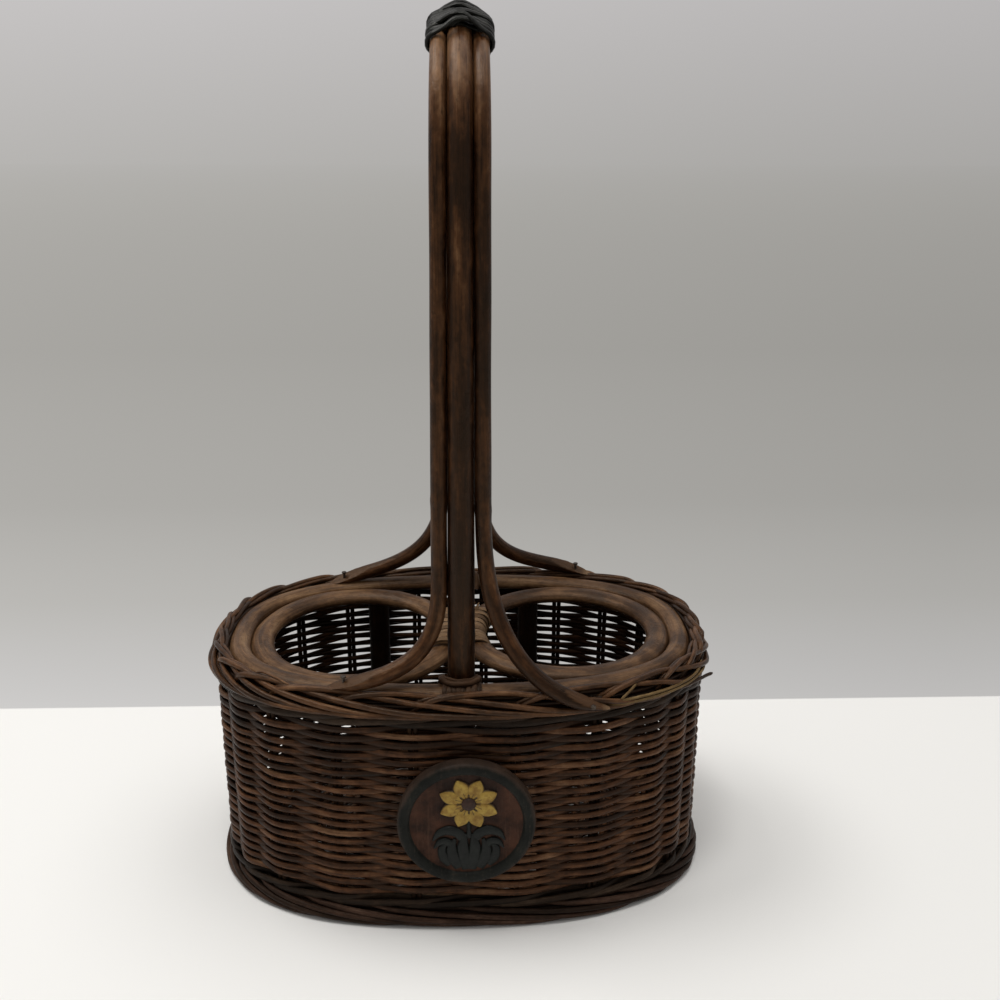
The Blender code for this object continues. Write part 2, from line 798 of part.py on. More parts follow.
def build_medallion(materials):
    """Round plaque with a raised rim, held against the front of the weave, and its painted relief."""
    top = medallion_thickness
    floor = plaque_floor
    inner = medallion_radius - medallion_rim_width
    edge = medallion_edge
    outline = ((0.0, 0.0), (medallion_radius - edge, 0.0), (medallion_radius, edge), (medallion_radius, top - edge),
               (medallion_radius - edge, top), (inner + edge, top), (inner, floor), (0.0, floor))
    disc = turned_solid("medallion_disc", outline, medallion_segments, materials["plaque"])
    face_front(disc, medallion_x, plaque_back_y, medallion_height)
    relief_y = plaque_back_y - floor - fit_gap
    flower_z = medallion_height + flower_rise
    petals = prism("medallion_petals", petal_outline(), 0.0, petal_thickness, materials["petal"])
    face_front(petals, medallion_x + flower_x, relief_y, flower_z)
    dome = ((0.0, 0.0), (button_radius, 0.0), (button_radius * 0.9, button_height * 0.6), (0.0, button_height))
    button = turned_solid("medallion_flower_centre", dome, button_segments, materials["button"])
    face_front(button, medallion_x + flower_x, relief_y - petal_thickness - fit_gap, flower_z)
    leaves = prism("medallion_leaves", leaf_outline(), 0.0, leaf_thickness, materials["leaf"])
    face_front(leaves, medallion_x + flower_x, relief_y, medallion_height)


def centre_footprint():
    """Moves everything so that the origin is under the middle of the overall box."""
    for thing in bpy.data.objects:
        thing.location.y -= (front_y + back_y) / 2


def build_materials():
    return {
        "rattan": make_material("rattan", (0.095, 0.042, 0.022), 0.38),
        "wicker": make_material("wicker", (0.085, 0.040, 0.023), 0.45),
        "dyed": make_material("dyed_wicker", (0.022, 0.024, 0.020), 0.50),
        "grip": make_material("grip_strands", (0.012, 0.020, 0.016), 0.42),
        "cane": make_material("binding_cane", (0.250, 0.150, 0.085), 0.50),
        "nail": make_material("nail_steel", (0.450, 0.430, 0.400), 0.40, 1.0),
        "plaque": make_material("plaque_wood", (0.090, 0.045, 0.030), 0.55),
        "petal": make_material("petal_paint", (0.520, 0.350, 0.100), 0.55),
        "button": make_material("flower_centre_paint", (0.050, 0.022, 0.015), 0.50),
        "leaf": make_material("leaf_paint", (0.030, 0.036, 0.032), 0.50),
    }


def main():
    clear_scene()
    materials = build_materials()
    build_base(materials)
    rings = build_wall(materials)
    build_stakes(materials["wicker"])
    hoop, hoop_seat = build_hoop(materials["rattan"])
    build_strap(build_rings(materials["rattan"]), materials["cane"])
    posts = build_posts(materials["rattan"])
    rods = build_handle(hoop_seat, rings[-3:] + posts, materials["rattan"])
    build_grip(materials["grip"])
    build_collars(materials["cane"])
    build_lashings(rings[-1], materials["cane"])
    build_nails(rods, [hoop] + rings[-3:], materials["nail"])
    build_medallion(materials)
    centre_footprint()


main()
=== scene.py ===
"""Looks of a wicker basket for two wine bottles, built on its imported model."""

import math

import bpy
import numpy as np
from mathutils import Matrix, Vector


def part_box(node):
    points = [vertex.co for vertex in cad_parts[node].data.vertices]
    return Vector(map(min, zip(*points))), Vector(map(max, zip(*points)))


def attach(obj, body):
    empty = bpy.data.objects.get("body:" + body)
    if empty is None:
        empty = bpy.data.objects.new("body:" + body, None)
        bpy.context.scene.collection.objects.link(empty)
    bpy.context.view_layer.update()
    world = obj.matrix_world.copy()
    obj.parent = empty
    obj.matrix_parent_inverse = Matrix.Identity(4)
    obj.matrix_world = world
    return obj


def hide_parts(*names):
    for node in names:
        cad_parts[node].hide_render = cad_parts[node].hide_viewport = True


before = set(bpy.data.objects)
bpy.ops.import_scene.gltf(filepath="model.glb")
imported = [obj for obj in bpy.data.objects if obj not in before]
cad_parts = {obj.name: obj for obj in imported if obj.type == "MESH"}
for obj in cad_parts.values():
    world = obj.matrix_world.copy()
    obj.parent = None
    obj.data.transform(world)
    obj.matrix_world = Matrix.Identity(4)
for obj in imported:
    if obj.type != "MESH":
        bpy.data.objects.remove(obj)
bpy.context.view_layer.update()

# Sizes in metres, most of them the model's. The handle's rods are a little fuller here, and the foot, the
# lower band and the weave's first row lie a little lower.
MM = 0.001
oval_power = 2.5
wall_half_length = 0.1292
wall_half_depth = 0.0792
stake_turn_shares = (
    0.031, 0.067, 0.107, 0.142, 0.178, 0.233, 0.284, 0.334, 0.374, 0.411, 0.447, 0.483, 0.519,
    0.558, 0.594, 0.629, 0.674, 0.721, 0.783, 0.833, 0.876, 0.903, 0.933, 0.964, 0.994,
)
stake_count = len(stake_turn_shares)
lower_band_z = 0.0130
weave_bottom = 0.0158
weave_top = 0.1162
upper_band_z = 0.1195
border_bottom = 0.1227
hoop_z = 0.1291
hoop_inset = 0.0099
hoop_half_width = 0.0052
hoop_half_height = 0.0041
ring_radius = 0.0509
ring_half_width = 0.0061
ring_half_height = 0.0041
ring_centre_x = 0.0576
handle_foot_shift = -0.0003
handle_lean_share = 0.0055
pole_foot_radius = 0.0072
pole_top_radius = 0.0056
side_rod_foot_radius = 0.0042
side_rod_top_radius = 0.0035
rod_gap = 0.0003
pole_y = 0.0610
apex_z = 0.4401
side_rod_drop = 0.0012
spring_z = apex_z - pole_y
grip_half_length = 0.0360
medallion_radius = 0.0345
medallion_thickness = 0.0078
medallion_x = 0.0024
medallion_height = 0.0668
flower_x = 0.0036
flower_z = 0.0787

wall_low, wall_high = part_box("wall_weave")
SHIFT = Vector((0.0, (wall_low.y + wall_high.y) / 2, 0.0))
UP = np.array((0.0, 0.0, 1.0))
TOWARDS_FRONT = (0.0, -1.0, 0.0)


def box_of(node):
    """Corners and middle of a node's box, from the middle of the wall."""
    low, high = (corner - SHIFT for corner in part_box(node))
    return low, high, (low + high) / 2


def placed(name, data):
    thing = bpy.data.objects.new(name, data)
    bpy.context.scene.collection.objects.link(thing)
    return thing


# Lines and strands


def unit(v):
    return v / np.maximum(np.linalg.norm(v, axis=-1, keepdims=True), 1e-12)


def points_at(x, y, z):
    """Points from their coordinates, each a row of numbers or one number for all."""
    return np.stack(np.broadcast_arrays(x, y, z), -1)


def ring_turns(count):
    """Even shares of a turn, from nought."""
    return np.arange(count) / count


def run_along(path):
    """Distance from the first point, along a line."""
    return np.concatenate(([0.0], np.cumsum(np.linalg.norm(np.diff(path, axis=0), axis=1))))


def respaced(points, step):
    """The same line with even steps, so that sharp bends and straights have points alike."""
    run = run_along(points)
    even = np.linspace(0, run[-1], max(int(run[-1] / step), 4))
    return np.stack([np.interp(even, run, points[:, i]) for i in range(3)], -1), even


def smoothed(values, times):
    """Draws each value towards its neighbours and leaves the ends alone."""
    for _ in range(times):
        values[1:-1] = (values[:-2] + 2 * values[1:-1] + values[2:]) / 4
    return values


def wander(t, seed):
    """Smooth wandering between about -1 and 1, the same each run."""
    rng = np.random.default_rng(seed + 1000)
    waves = 5
    total = 0.0
    for _ in range(waves):
        total = total + np.sin(t * rng.uniform(0.5, 3.0) + rng.uniform(0, math.tau))
    return total / math.sqrt(waves) / 1.2


def wander_round(turn, seed):
    """The same wandering along a closed line, that ends as it starts."""
    a = math.tau * turn
    return wander(2.6 * np.sin(a) + 1.7 * np.cos(2 * a) + np.cos(3 * a), seed)


def carried(tangent):
    """Directions beside a line that turn with it and don't twist."""
    side = np.empty_like(tangent)
    now = np.array((1.0, 0.0, 0.0))
    for i, along in enumerate(tangent):
        now = unit(now - along * now.dot(along))
        side[i] = now
    return side


class Strands:
    """Rods and strips gathered into one mesh. Each point keeps its place in its own straightened strand."""

    def __init__(self, seed):
        self.points, self.faces, self.grain, self.tone, self.cut = [], [], [], [], []
        self.count = 0
        self.rng = np.random.default_rng(seed)

    def store(self, points, faces, grain, tone, cut):
        self.points.append(points)
        self.faces += [tuple(int(i) + self.count for i in face) for face in faces]
        self.grain.append(grain)
        self.tone.append(np.broadcast_to(tone, len(points)).astype(float))
        self.cut.append(np.broadcast_to(cut, len(points)).astype(float))
        self.count += len(points)

    def add(self, path, width, height=None, up=UP, sides=8, closed=False, tone=None, corner=1.0, pared=None):
        """Sweeps an ellipse along a path; width is across and height along the up direction, both half sizes.
        Without an up direction the section is carried along untwisted. pared is a direction and one limit per
        point, past which the strand is sliced away, with how bare the cut is there."""
        n = len(path)
        if closed:
            tangent = unit(np.roll(path, -1, 0) - np.roll(path, 1, 0))
        else:
            tangent = unit(np.gradient(path, axis=0))
        side = carried(tangent) if up is None else unit(np.cross(tangent, np.broadcast_to(up, path.shape)))
        lift = np.cross(side, tangent)
        run = run_along(path)
        if closed:
            # Counted from both ends, so that the grain meets itself where the strand closes
            run = np.minimum(run, 2 * run[-1] - run[-2] - run)
        a = math.tau * (np.arange(sides) + 0.5) / sides
        c, s = (np.sign(wave) * np.abs(wave) ** corner for wave in (np.cos(a), np.sin(a)))
        w = np.broadcast_to(width, n)[:, None] * c
        h = np.broadcast_to(width if height is None else height, n)[:, None] * s
        away = w[..., None] * side[:, None] + h[..., None] * lift[:, None]
        cut = np.zeros((n, sides))
        if pared is not None:
            direction, limit, bare = pared
            over = np.maximum((away * direction).sum(-1) - limit[:, None], 0.0)
            away = away - over[..., None] * direction
            cut = np.clip(over / (0.2 * MM), 0.0, 1.0) * bare[:, None]
        grain = points_at(run[:, None], w, h).reshape(-1, 3) + self.rng.uniform(0, 5, 3)
        i = np.arange(n if closed else n - 1)[:, None]
        j = np.arange(sides)[None]
        k = (i + 1) % n
        m = (j + 1) % sides
        faces = np.stack([i * sides + j, k * sides + j, k * sides + m, i * sides + m], -1)
        faces = faces.reshape(-1, 4).tolist()
        if not closed:
            faces += [list(range(sides)), list(range(n * sides - 1, (n - 1) * sides - 1, -1))]
        if tone is None:
            tone = self.rng.uniform(0.15, 0.85)
        tone = np.repeat(np.broadcast_to(tone, n), sides)
        self.store((path[:, None] + away).reshape(-1, 3), faces, grain, tone, cut.reshape(-1))

    def piece(self, name, material, nodes, angle=50):
        points = np.concatenate(self.points) + np.array(SHIFT)
        mesh = bpy.data.meshes.new(name)
        mesh.from_pydata(points.tolist(), [], self.faces)
        grain = mesh.attributes.new("grain", "FLOAT_VECTOR", "POINT")
        grain.data.foreach_set("vector", np.concatenate(self.grain).ravel())
        for label, values in (("tone", self.tone), ("pared", self.cut)):
            mesh.attributes.new(label, "FLOAT", "POINT").data.foreach_set("value", np.concatenate(values))
        mesh.shade_smooth()
        mesh.set_sharp_from_angle(angle=math.radians(angle))
        mesh.materials.append(material)
        thing = placed(name, mesh)
        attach(thing, "root")
        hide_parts(*nodes)


def superellipse(turn, half_length, half_depth):
    a = math.tau * np.asarray(turn, float)
    c, s = np.cos(a), np.sin(a)
    scale = (np.abs(c) ** oval_power + np.abs(s) ** oval_power) ** (-1 / oval_power)
    return half_length * c * scale, half_depth * s * scale


def oval(turn):
    """Points on the wall's middle line and their outward directions, at shares of a turn."""
    x, y = superellipse(turn, wall_half_length, wall_half_depth)
    nx = np.sign(x) * (np.abs(x) / wall_half_length) ** (oval_power - 1) / wall_half_length
    ny = np.sign(y) * (np.abs(y) / wall_half_depth) ** (oval_power - 1) / wall_half_depth
    return np.stack([x, y], -1), unit(np.stack([nx, ny], -1))


def on_wall(turn, offset, z):
    """Points at shares of a turn, out or in from the wall's middle line."""
    point, normal = oval(turn)
    flat = point + normal * np.broadcast_to(offset, np.shape(turn))[..., None]
    return np.concatenate([flat, np.broadcast_to(z, np.shape(turn))[..., None]], -1)


def beside_wall(turn):
    """Directions out of the wall and along it, at one share of a turn."""
    x, y = oval(turn)[1]
    return np.array((x, y, 0.0)), np.array((-y, x, 0.0))


def turn_at_x(x, front):
    across = np.clip(np.abs(x) / wall_half_length, 0, 1)
    y = (1 - across**oval_power) ** (1 / oval_power)
    return np.arctan2(-y if front else y, np.copysign(across, x)) / math.tau % 1.0


def turn_at_stake(number):
    """Share of a turn at a position counted in stakes."""
    shares = [*stake_turn_shares, stake_turn_shares[0] + 1]
    whole = np.floor(number / stake_count)
    return np.interp(number - whole * stake_count, np.arange(stake_count + 1), shares) + whole


# Materials


class Nodes:
    """Short way to make and link the shader nodes of a material or the world."""

    def __init__(self, owner):
        owner.use_nodes = True
        self.owner, self.tree = owner, owner.node_tree

    def put(self, value, socket):
        if isinstance(value, bpy.types.NodeSocket):
            self.tree.links.new(value, socket)
        else:
            socket.default_value = value

    def node(self, kind, inputs=None, **settings):
        made = self.tree.nodes.new("ShaderNode" + kind)
        for key, value in settings.items():
            setattr(made, key, value)
        for key, value in (inputs or {}).items():
            self.put(value, made.inputs[key])
        return made

    def place(self, kind="Object"):
        return self.node("TexCoord").outputs[kind]

    def attribute(self, name, output="Fac"):
        return self.node("Attribute", attribute_name=name).outputs[output]

    def noise(self, where, scale, detail=3.0, rough=0.6, stretch=(1.0, 1.0, 1.0)):
        mapped = self.node("Mapping", {"Vector": where, "Scale": stretch}).outputs["Vector"]
        inputs = {"Vector": mapped, "Scale": scale, "Detail": detail, "Roughness": rough}
        return self.node("TexNoise", inputs).outputs["Fac"]

    def ramp(self, fac, *stops):
        made = self.node("ValToRGB", {"Fac": fac})
        ramp = made.color_ramp
        while len(ramp.elements) < len(stops):
            ramp.elements.new(0.5)
        for element, (place, colour) in zip(ramp.elements, stops):
            element.position = place
            element.color = (*colour, 1.0)
        return made.outputs["Color"]

    def grey(self, fac, low, high, first=0.0, last=1.0):
        """Goes from the first value to the last while the input goes from low to high."""
        inputs = {"Value": fac, "From Min": low, "From Max": high, "To Min": first, "To Max": last}
        return self.node("MapRange", inputs).outputs["Result"]

    def mix(self, fac, a, b, blend="MIX"):
        a, b = ((*value, 1.0) if isinstance(value, tuple) else value for value in (a, b))
        return self.node("Mix", {0: fac, 6: a, 7: b}, data_type="RGBA", blend_type=blend).outputs[2]

    def dimmed(self, colour, by):
        grey = self.node("CombineColor", {"Red": by, "Green": by, "Blue": by}).outputs[0]
        return self.mix(1.0, colour, grey, "MULTIPLY")

    def math(self, operation, a, b):
        return self.node("Math", {0: a, 1: b}, operation=operation).outputs[0]

    def total(self, *terms):
        """Sum of values, each times its weight."""
        whole = None
        for value, weight in terms:
            part = self.math("MULTIPLY", value, weight)
            whole = part if whole is None else self.math("ADD", whole, part)
        return whole

    def swayed(self, value, by, weight):
        """A value moved up and down by a noise."""
        return self.math("ADD", value, self.math("MULTIPLY", self.math("SUBTRACT", by, 0.5), weight))

    def seen(self):
        """1 for the rays that show the background: from the camera, mirrored or through glass."""
        path = self.node("LightPath").outputs
        rays = self.math("ADD", path["Is Camera Ray"], path["Is Glossy Ray"])
        return self.math("MINIMUM", self.math("ADD", rays, path["Is Transmission Ray"]), 1.0)

    def either(self, share, first, second):
        return self.node("MixShader", {0: share, 1: first, 2: second}).outputs[0]

    def finish(self, colour, rough, bump, depth, gloss, sheen=(1.0, 1.0, 1.0), coat=0.0, metal=0.0):
        """Sets the surface. rough is a number, or a noise with the roughness at its dark and light places."""
        if isinstance(rough, tuple):
            rough = self.grey(rough[0], 0.3, 0.7, *rough[1:])
        inputs = self.tree.nodes["Principled BSDF"].inputs
        self.put(colour, inputs["Base Color"])
        self.put(rough, inputs["Roughness"])
        inputs["Metallic"].default_value = metal
        inputs["Coat Weight"].default_value = coat
        inputs["Coat Roughness"].default_value = 0.28
        inputs["Specular IOR Level"].default_value = gloss
        inputs["Specular Tint"].default_value = (*sheen, 1.0)
        lifted = self.node("Bump", {"Height": bump, "Strength": 1.0, "Distance": depth})
        self.put(lifted.outputs["Normal"], inputs["Normal"])
        return self.owner


def material_nodes(name):
    return Nodes(bpy.data.materials.new(name))


def rattan(name, dark, middle, warm, pale, roughness, gloss, blotch=1.0,
           bare=(0.095, 0.045, 0.021), tip=(0.24, 0.16, 0.09), sheen=(1.0, 0.80, 0.64)):
    """Stained and varnished cane: fibres along the strand, worn patches and specks, and paler wood where
    it is pared."""
    n = material_nodes(name)
    grain = n.attribute("grain", "Vector")
    fibres = n.noise(grain, 1.0, 4.0, 0.6, (45.0, 1500.0, 1500.0))
    streaks = n.noise(grain, 1.0, 2.0, 0.5, (30.0, 380.0, 380.0))
    patches = n.noise(grain, 1.0, 3.0, 0.6, (50.0 * blotch, 150.0, 150.0))
    mottle = n.noise(grain, 1.0, 4.0, 0.65, (210.0, 330.0, 330.0))
    specks = n.noise(grain, 1.0, 3.0, 0.6, (260.0, 620.0, 620.0))
    shade = n.swayed(n.total((streaks, 0.30), (patches, 0.42), (mottle, 0.28)), n.attribute("tone"), 0.30)
    colour = n.ramp(shade, (0.30, dark), (0.46, middle), (0.58, warm), (0.76, pale))
    colour = n.dimmed(colour, n.grey(fibres, 0.35, 0.65, 0.68, 1.22))
    colour = n.mix(n.grey(specks, 0.60, 0.74, 0.0, 0.65), colour, dark)
    pared = n.attribute("pared")
    face = n.mix(n.grey(streaks, 0.35, 0.65), tuple(0.6 * c for c in bare), bare)
    colour = n.mix(n.grey(pared, 0.05, 0.45), colour, face)
    colour = n.mix(n.grey(pared, 0.62, 0.95), colour, tip)
    rough = n.total((fibres, 0.5), (patches, 0.5)), roughness - 0.08, roughness + 0.14
    return n.finish(colour, rough, n.total((fibres, 0.5), (mottle, 0.9)), 0.42 * MM, gloss, sheen)


def painted(name, base, rub, dirt, rub_level):
    """Matt paint on wood, rubbed here and there."""
    n = material_nodes(name)
    place = n.place()
    fine = n.noise(place, 900.0, 4.0)
    broad = n.noise(place, 130.0, 4.0)
    grain = n.noise(place, 1.0, 3.0, 0.6, (60.0, 60.0, 900.0))
    rubbed = n.grey(n.total((fine, 0.5), (grain, 0.5)), rub_level - 0.06, rub_level + 0.06, 0.0, 0.75)
    colour = n.mix(rubbed, n.mix(n.grey(broad, 0.40, 0.66), dirt, base), rub)
    return n.finish(colour, (fine, 0.42, 0.62), n.total((fine, 0.5), (grain, 0.7)), 0.3 * MM, 0.16, coat=0.05)


def plaque_paint():
    """Dark green-grey rim and a brown face, rubbed thin where hands touch it."""
    n = material_nodes("plaque_paint")
    place = n.place()
    fine = n.noise(place, 700.0, 4.0)
    broad = n.noise(place, 90.0, 4.0)
    grain = n.noise(place, 1.0, 3.0, 0.6, (700.0, 60.0, 60.0))
    rim = n.mix(n.grey(broad, 0.38, 0.66), (0.0052, 0.0056, 0.0042), (0.0120, 0.0124, 0.0098))
    rubbed = n.grey(n.total((fine, 0.5), (grain, 0.5)), 0.55, 0.68, 0.0, 0.5)
    rim = n.mix(rubbed, rim, (0.052, 0.042, 0.032))
    worn = n.grey(n.swayed(n.attribute("pared"), broad, 1.6), 0.35, 1.10, 0.0, 0.85)
    rim = n.mix(worn, rim, (0.050, 0.030, 0.021))
    wood = n.mix(n.grey(broad, 0.35, 0.68), (0.0185, 0.0079, 0.0044), (0.072, 0.029, 0.0157))
    wood = n.mix(n.grey(grain, 0.54, 0.72, 0.0, 0.45), wood, (0.080, 0.040, 0.025))
    # Painted shade in the carved ground close round the flower, darker where the raised petals shade it
    near = n.node("VectorMath", {0: place, 1: (flower_x, wall_low.y, flower_z)}, operation="DISTANCE")
    painted_shade_round_flower = n.grey(near.outputs["Value"], 15.0 * MM, 20.5 * MM, 0.62, 0.0)
    wood = n.mix(painted_shade_round_flower, wood, (0.0060, 0.0034, 0.0024))
    face = n.grey(n.swayed(n.attribute("tone"), fine, 0.5), 0.4, 0.62)
    bump = n.total((fine, 0.6), (grain, 0.6))
    return n.finish(n.mix(face, rim, wood), (fine, 0.42, 0.62), bump, 0.4 * MM, 0.11)


def petal_paint():
    """Muted yellow with a dark line round each petal."""
    n = material_nodes("petal_paint")
    place = n.place()
    fine = n.noise(place, 800.0, 4.0)
    broad = n.noise(place, 220.0, 3.0)
    yellow = n.mix(n.grey(broad, 0.36, 0.66), (0.208, 0.112, 0.018), (0.40, 0.27, 0.053))
    yellow = n.mix(n.grey(fine, 0.58, 0.72, 0.0, 0.6), yellow, (0.10, 0.05, 0.014))
    line = n.grey(n.swayed(n.attribute("tone"), broad, 0.25), 0.74, 0.92)
    colour = n.mix(line, yellow, (0.035, 0.020, 0.012))
    return n.finish(colour, (fine, 0.42, 0.62), fine, 0.25 * MM, 0.25)


def nail_metal():
    n = material_nodes("nail_steel_worn")
    fine = n.noise(n.place(), 1500.0, 3.0)
    colour = n.mix(n.grey(fine, 0.4, 0.7), (0.090, 0.075, 0.062), (0.035, 0.022, 0.015))
    return n.finish(colour, (fine, 0.35, 0.55), fine, 0.1 * MM, 0.5, metal=0.9)


# Each cane has a dark, a middle, a warm and a pale colour, then its roughness, gloss and blotches
rattan_wood = rattan(
    "rattan_cane", (0.019, 0.0086, 0.0038), (0.05, 0.024, 0.0108), (0.112, 0.058, 0.027),
    (0.225, 0.132, 0.066), 0.33, 0.20, 0.8, bare=(0.15, 0.072, 0.03), sheen=(1.0, 0.86, 0.72))
pole_wood = rattan(
    "handle_cane", (0.0046, 0.0016, 0.0006), (0.0165, 0.006, 0.0021), (0.056, 0.022, 0.008),
    (0.16, 0.082, 0.038), 0.29, 0.22, 0.8, bare=(0.06, 0.028, 0.012), tip=(0.16, 0.10, 0.055),
    sheen=(1.0, 0.74, 0.54))
wicker_wood = rattan(
    "wicker_strands", (0.0038, 0.0015, 0.0008), (0.0256, 0.0106, 0.0049), (0.081, 0.0338, 0.015),
    (0.20, 0.108, 0.055), 0.38, 0.16)
inner_wood = rattan(
    "stake_and_post_cane", (0.0038, 0.0017, 0.0008), (0.01, 0.0045, 0.0022), (0.022, 0.01, 0.0045),
    (0.052, 0.026, 0.013), 0.46, 0.11)
border_wood = rattan(
    "border_strands", (0.007, 0.0028, 0.0013), (0.03, 0.0128, 0.0055), (0.096, 0.0425, 0.018),
    (0.25, 0.14, 0.07), 0.32, 0.24, 0.7, sheen=(1.0, 0.78, 0.60))
foot_wood = rattan(
    "foot_strands", (0.0044, 0.0024, 0.0015), (0.016, 0.0086, 0.0056), (0.042, 0.0218, 0.0144),
    (0.108, 0.065, 0.045), 0.46, 0.12, 0.7)
dyed_wood = rattan(
    "dyed_strands", (0.0036, 0.0024, 0.0018), (0.0095, 0.0062, 0.0044), (0.0235, 0.0142, 0.0088),
    (0.068, 0.046, 0.031), 0.46, 0.13)
grip_wood = rattan(
    "grip_strands", (0.0007, 0.0008, 0.0006), (0.0019, 0.0021, 0.0015), (0.0046, 0.0048, 0.0036),
    (0.016, 0.0154, 0.0122), 0.30, 0.165, sheen=(1.0, 1.0, 0.93))
cane_wood = rattan(
    "binding_cane", (0.038, 0.02, 0.0092), (0.095, 0.054, 0.027), (0.155, 0.093, 0.049), (0.25, 0.17, 0.10),
    0.46, 0.14, 0.8)
lash_wood = rattan(
    "lashing_cane", (0.01, 0.0045, 0.0022), (0.028, 0.0135, 0.0068), (0.058, 0.029, 0.015),
    (0.13, 0.074, 0.042), 0.44, 0.14, 0.8)
blonde_wood = rattan(
    "undyed_strands", (0.04, 0.022, 0.008), (0.095, 0.056, 0.022), (0.175, 0.115, 0.05), (0.33, 0.25, 0.14),
    0.46, 0.14, 0.8)


# Wall


def build_weave():
    """One weaver that runs round the stakes from foot to rim, in front of one and behind the next."""
    pitch = 2.50 * MM
    half_height = 1.49 * MM
    half_depth = 1.18 * MM
    tuck = 0.3 * MM
    steps_per_stake = 8
    rounds_per_sweep = 3
    low, high = weave_bottom + half_height - tuck, weave_top - half_height + tuck
    number = np.arange(int((high - low) / pitch * stake_count * steps_per_stake)) / steps_per_stake
    t = turn_at_stake(number)
    bend = np.cos(math.pi * number)
    reach = 2.30 * MM * (1 + 0.10 * wander(number * 0.9, 11))
    offset = reach * np.sign(bend) * np.abs(bend) ** 1.35
    z = low + pitch * (t - t[0]) + 0.22 * MM * wander(t * 5, 12) + 0.24 * MM * wander(number * 2.3, 13)
    thick = 1 + 0.08 * wander(number * 0.7, 16)
    # The tone changes where a new length begins, and is painted darker on the inner side, as shade where the
    # weaver passes behind the stakes
    length = np.floor(t / 1.37).astype(int)
    tones = np.random.default_rng(14).uniform(0.15, 0.85, length.max() + 2)
    painted_shade_inner_side = 0.5 - 0.5 * np.tanh(offset / MM)
    tone = np.clip(tones[length] + 0.12 * wander(number * 1.7, 15) - 0.22 * painted_shade_inner_side, 0, 1)
    # The rows are beaten down harder near the rim, along the front and low down
    back = np.sin(math.tau * t)
    beaten = 0.16 * np.interp(z, (0.092, 0.104), (0, 1)) * np.clip(0.7 - back, 0, 1) - 0.06 * back
    beaten += 0.14 * np.interp(z, (0.058, 0.068), (1, 0)) * np.clip(2 * back + 0.6, 0, 1)
    beaten += 0.12 * np.interp(z, (0.032, 0.048), (1, 0)) * np.clip(0.4 - 2 * back, 0, 1)
    strands = Strands(10)
    steps = stake_count * steps_per_stake * rounds_per_sweep
    for start in range(0, len(t) - 1, steps):
        part = slice(start, start + steps + 1)
        strands.add(on_wall(t[part], offset[part], z[part]), thick[part] * half_depth,
                    (thick + beaten)[part] * half_height, tone=tone[part])
    strands.piece("woven_wall", wicker_wood, ["wall_weave"])


def build_band(name, node, centre_z, half_height, seed):
    """A dark strand that runs round three times, each time in front of two stakes and behind the third."""
    rounds = 3
    steps_per_stake = 8
    number = np.arange(stake_count * rounds * steps_per_stake) / steps_per_stake
    angle = math.tau * number / 3 + math.pi / 3
    offset = 2.62 * MM * np.tanh(2.2 * (np.cos(angle) + 0.15))
    z = centre_z + (half_height - 1.35 * MM) * np.sin(angle) + 0.15 * MM * wander(number * 1.3, seed)
    thick = 1 + 0.06 * wander(number, seed + 1)
    tone = 0.5 + 0.35 * wander(number * 0.6, seed + 2)
    strands = Strands(seed)
    path = on_wall(turn_at_stake(number), offset, z)
    strands.add(path, 1.2 * MM * thick, 1.85 * MM * thick, closed=True, tone=tone)
    strands.piece(name, dyed_wood, [node])


def build_stakes():
    """Each stake is two rods side by side."""
    for index, turn in enumerate(stake_turn_shares):
        strands = Strands(100 + index)
        normal, along = beside_wall(turn)
        z = np.linspace(1.9 * MM, 125.5 * MM, 30)
        for side in (-1, 1):
            apart = 1.42 * MM * side + 0.12 * MM * wander(z * 60, index * 2 + side)
            path = on_wall(turn, 0.0, 0.0) + UP * z[:, None] + along * apart[:, None]
            strands.add(path, 1.32 * MM, up=normal)
        strands.piece(f"stake_rods_{index + 1:02d}", inner_wood, [f"stake_{index + 1:02d}"])


# Rolled border and foot. A route has the progress along a strand, its offset from the wall's middle and its
# height over the border's or the foot's underside, in millimetres.
border_route = (
    (0.00, 0.4, 2.0), (0.02, 1.7, 5.0), (0.05, 2.7, 8.9), (0.10, 1.9, 10.6), (0.16, 0.4, 10.9),
    (0.23, -0.9, 10.8), (0.30, -0.9, 10.0), (0.39, 1.0, 8.6), (0.50, 3.6, 7.0), (0.60, 4.9, 4.6),
    (0.70, 5.2, 2.2), (0.80, 5.1, 1.2), (0.92, 4.8, 0.9), (1.00, 3.2, 0.8),
)
border_span_stakes = 3.75
border_core = ((-2.7, 1.5), (-2.9, 4.3), (-2.9, 6.9), (0.2, 1.5), (0.2, 4.3), (2.4, 1.3))
foot_route = (
    (0.00, 0.6, 10.2), (0.06, 2.8, 9.6), (0.20, 4.0, 8.1), (0.40, 5.1, 5.9), (0.60, 5.3, 3.7),
    (0.80, 4.6, 2.0), (1.00, 1.6, 1.6),
)
foot_span_stakes = 3.7
foot_core = (
    (-2.7, 1.6), (-2.7, 4.2), (-2.7, 6.8), (-2.5, 9.0), (0.4, 1.6), (1.5, 4.0), (1.4, 6.5), (0.4, 8.9),
)
# Tones of the border's strands, one by one
border_tones = (
    0.40, 0.55, 0.38, 0.60, 0.45, 0.50, 0.36, 0.58, 0.48, 0.40, 0.56, 0.44, 0.52,
    0.62, 0.42, 0.64, 0.50, 0.60, 0.44, 0.56, 0.58, 0.42, 0.60, 0.46, 0.38,
)
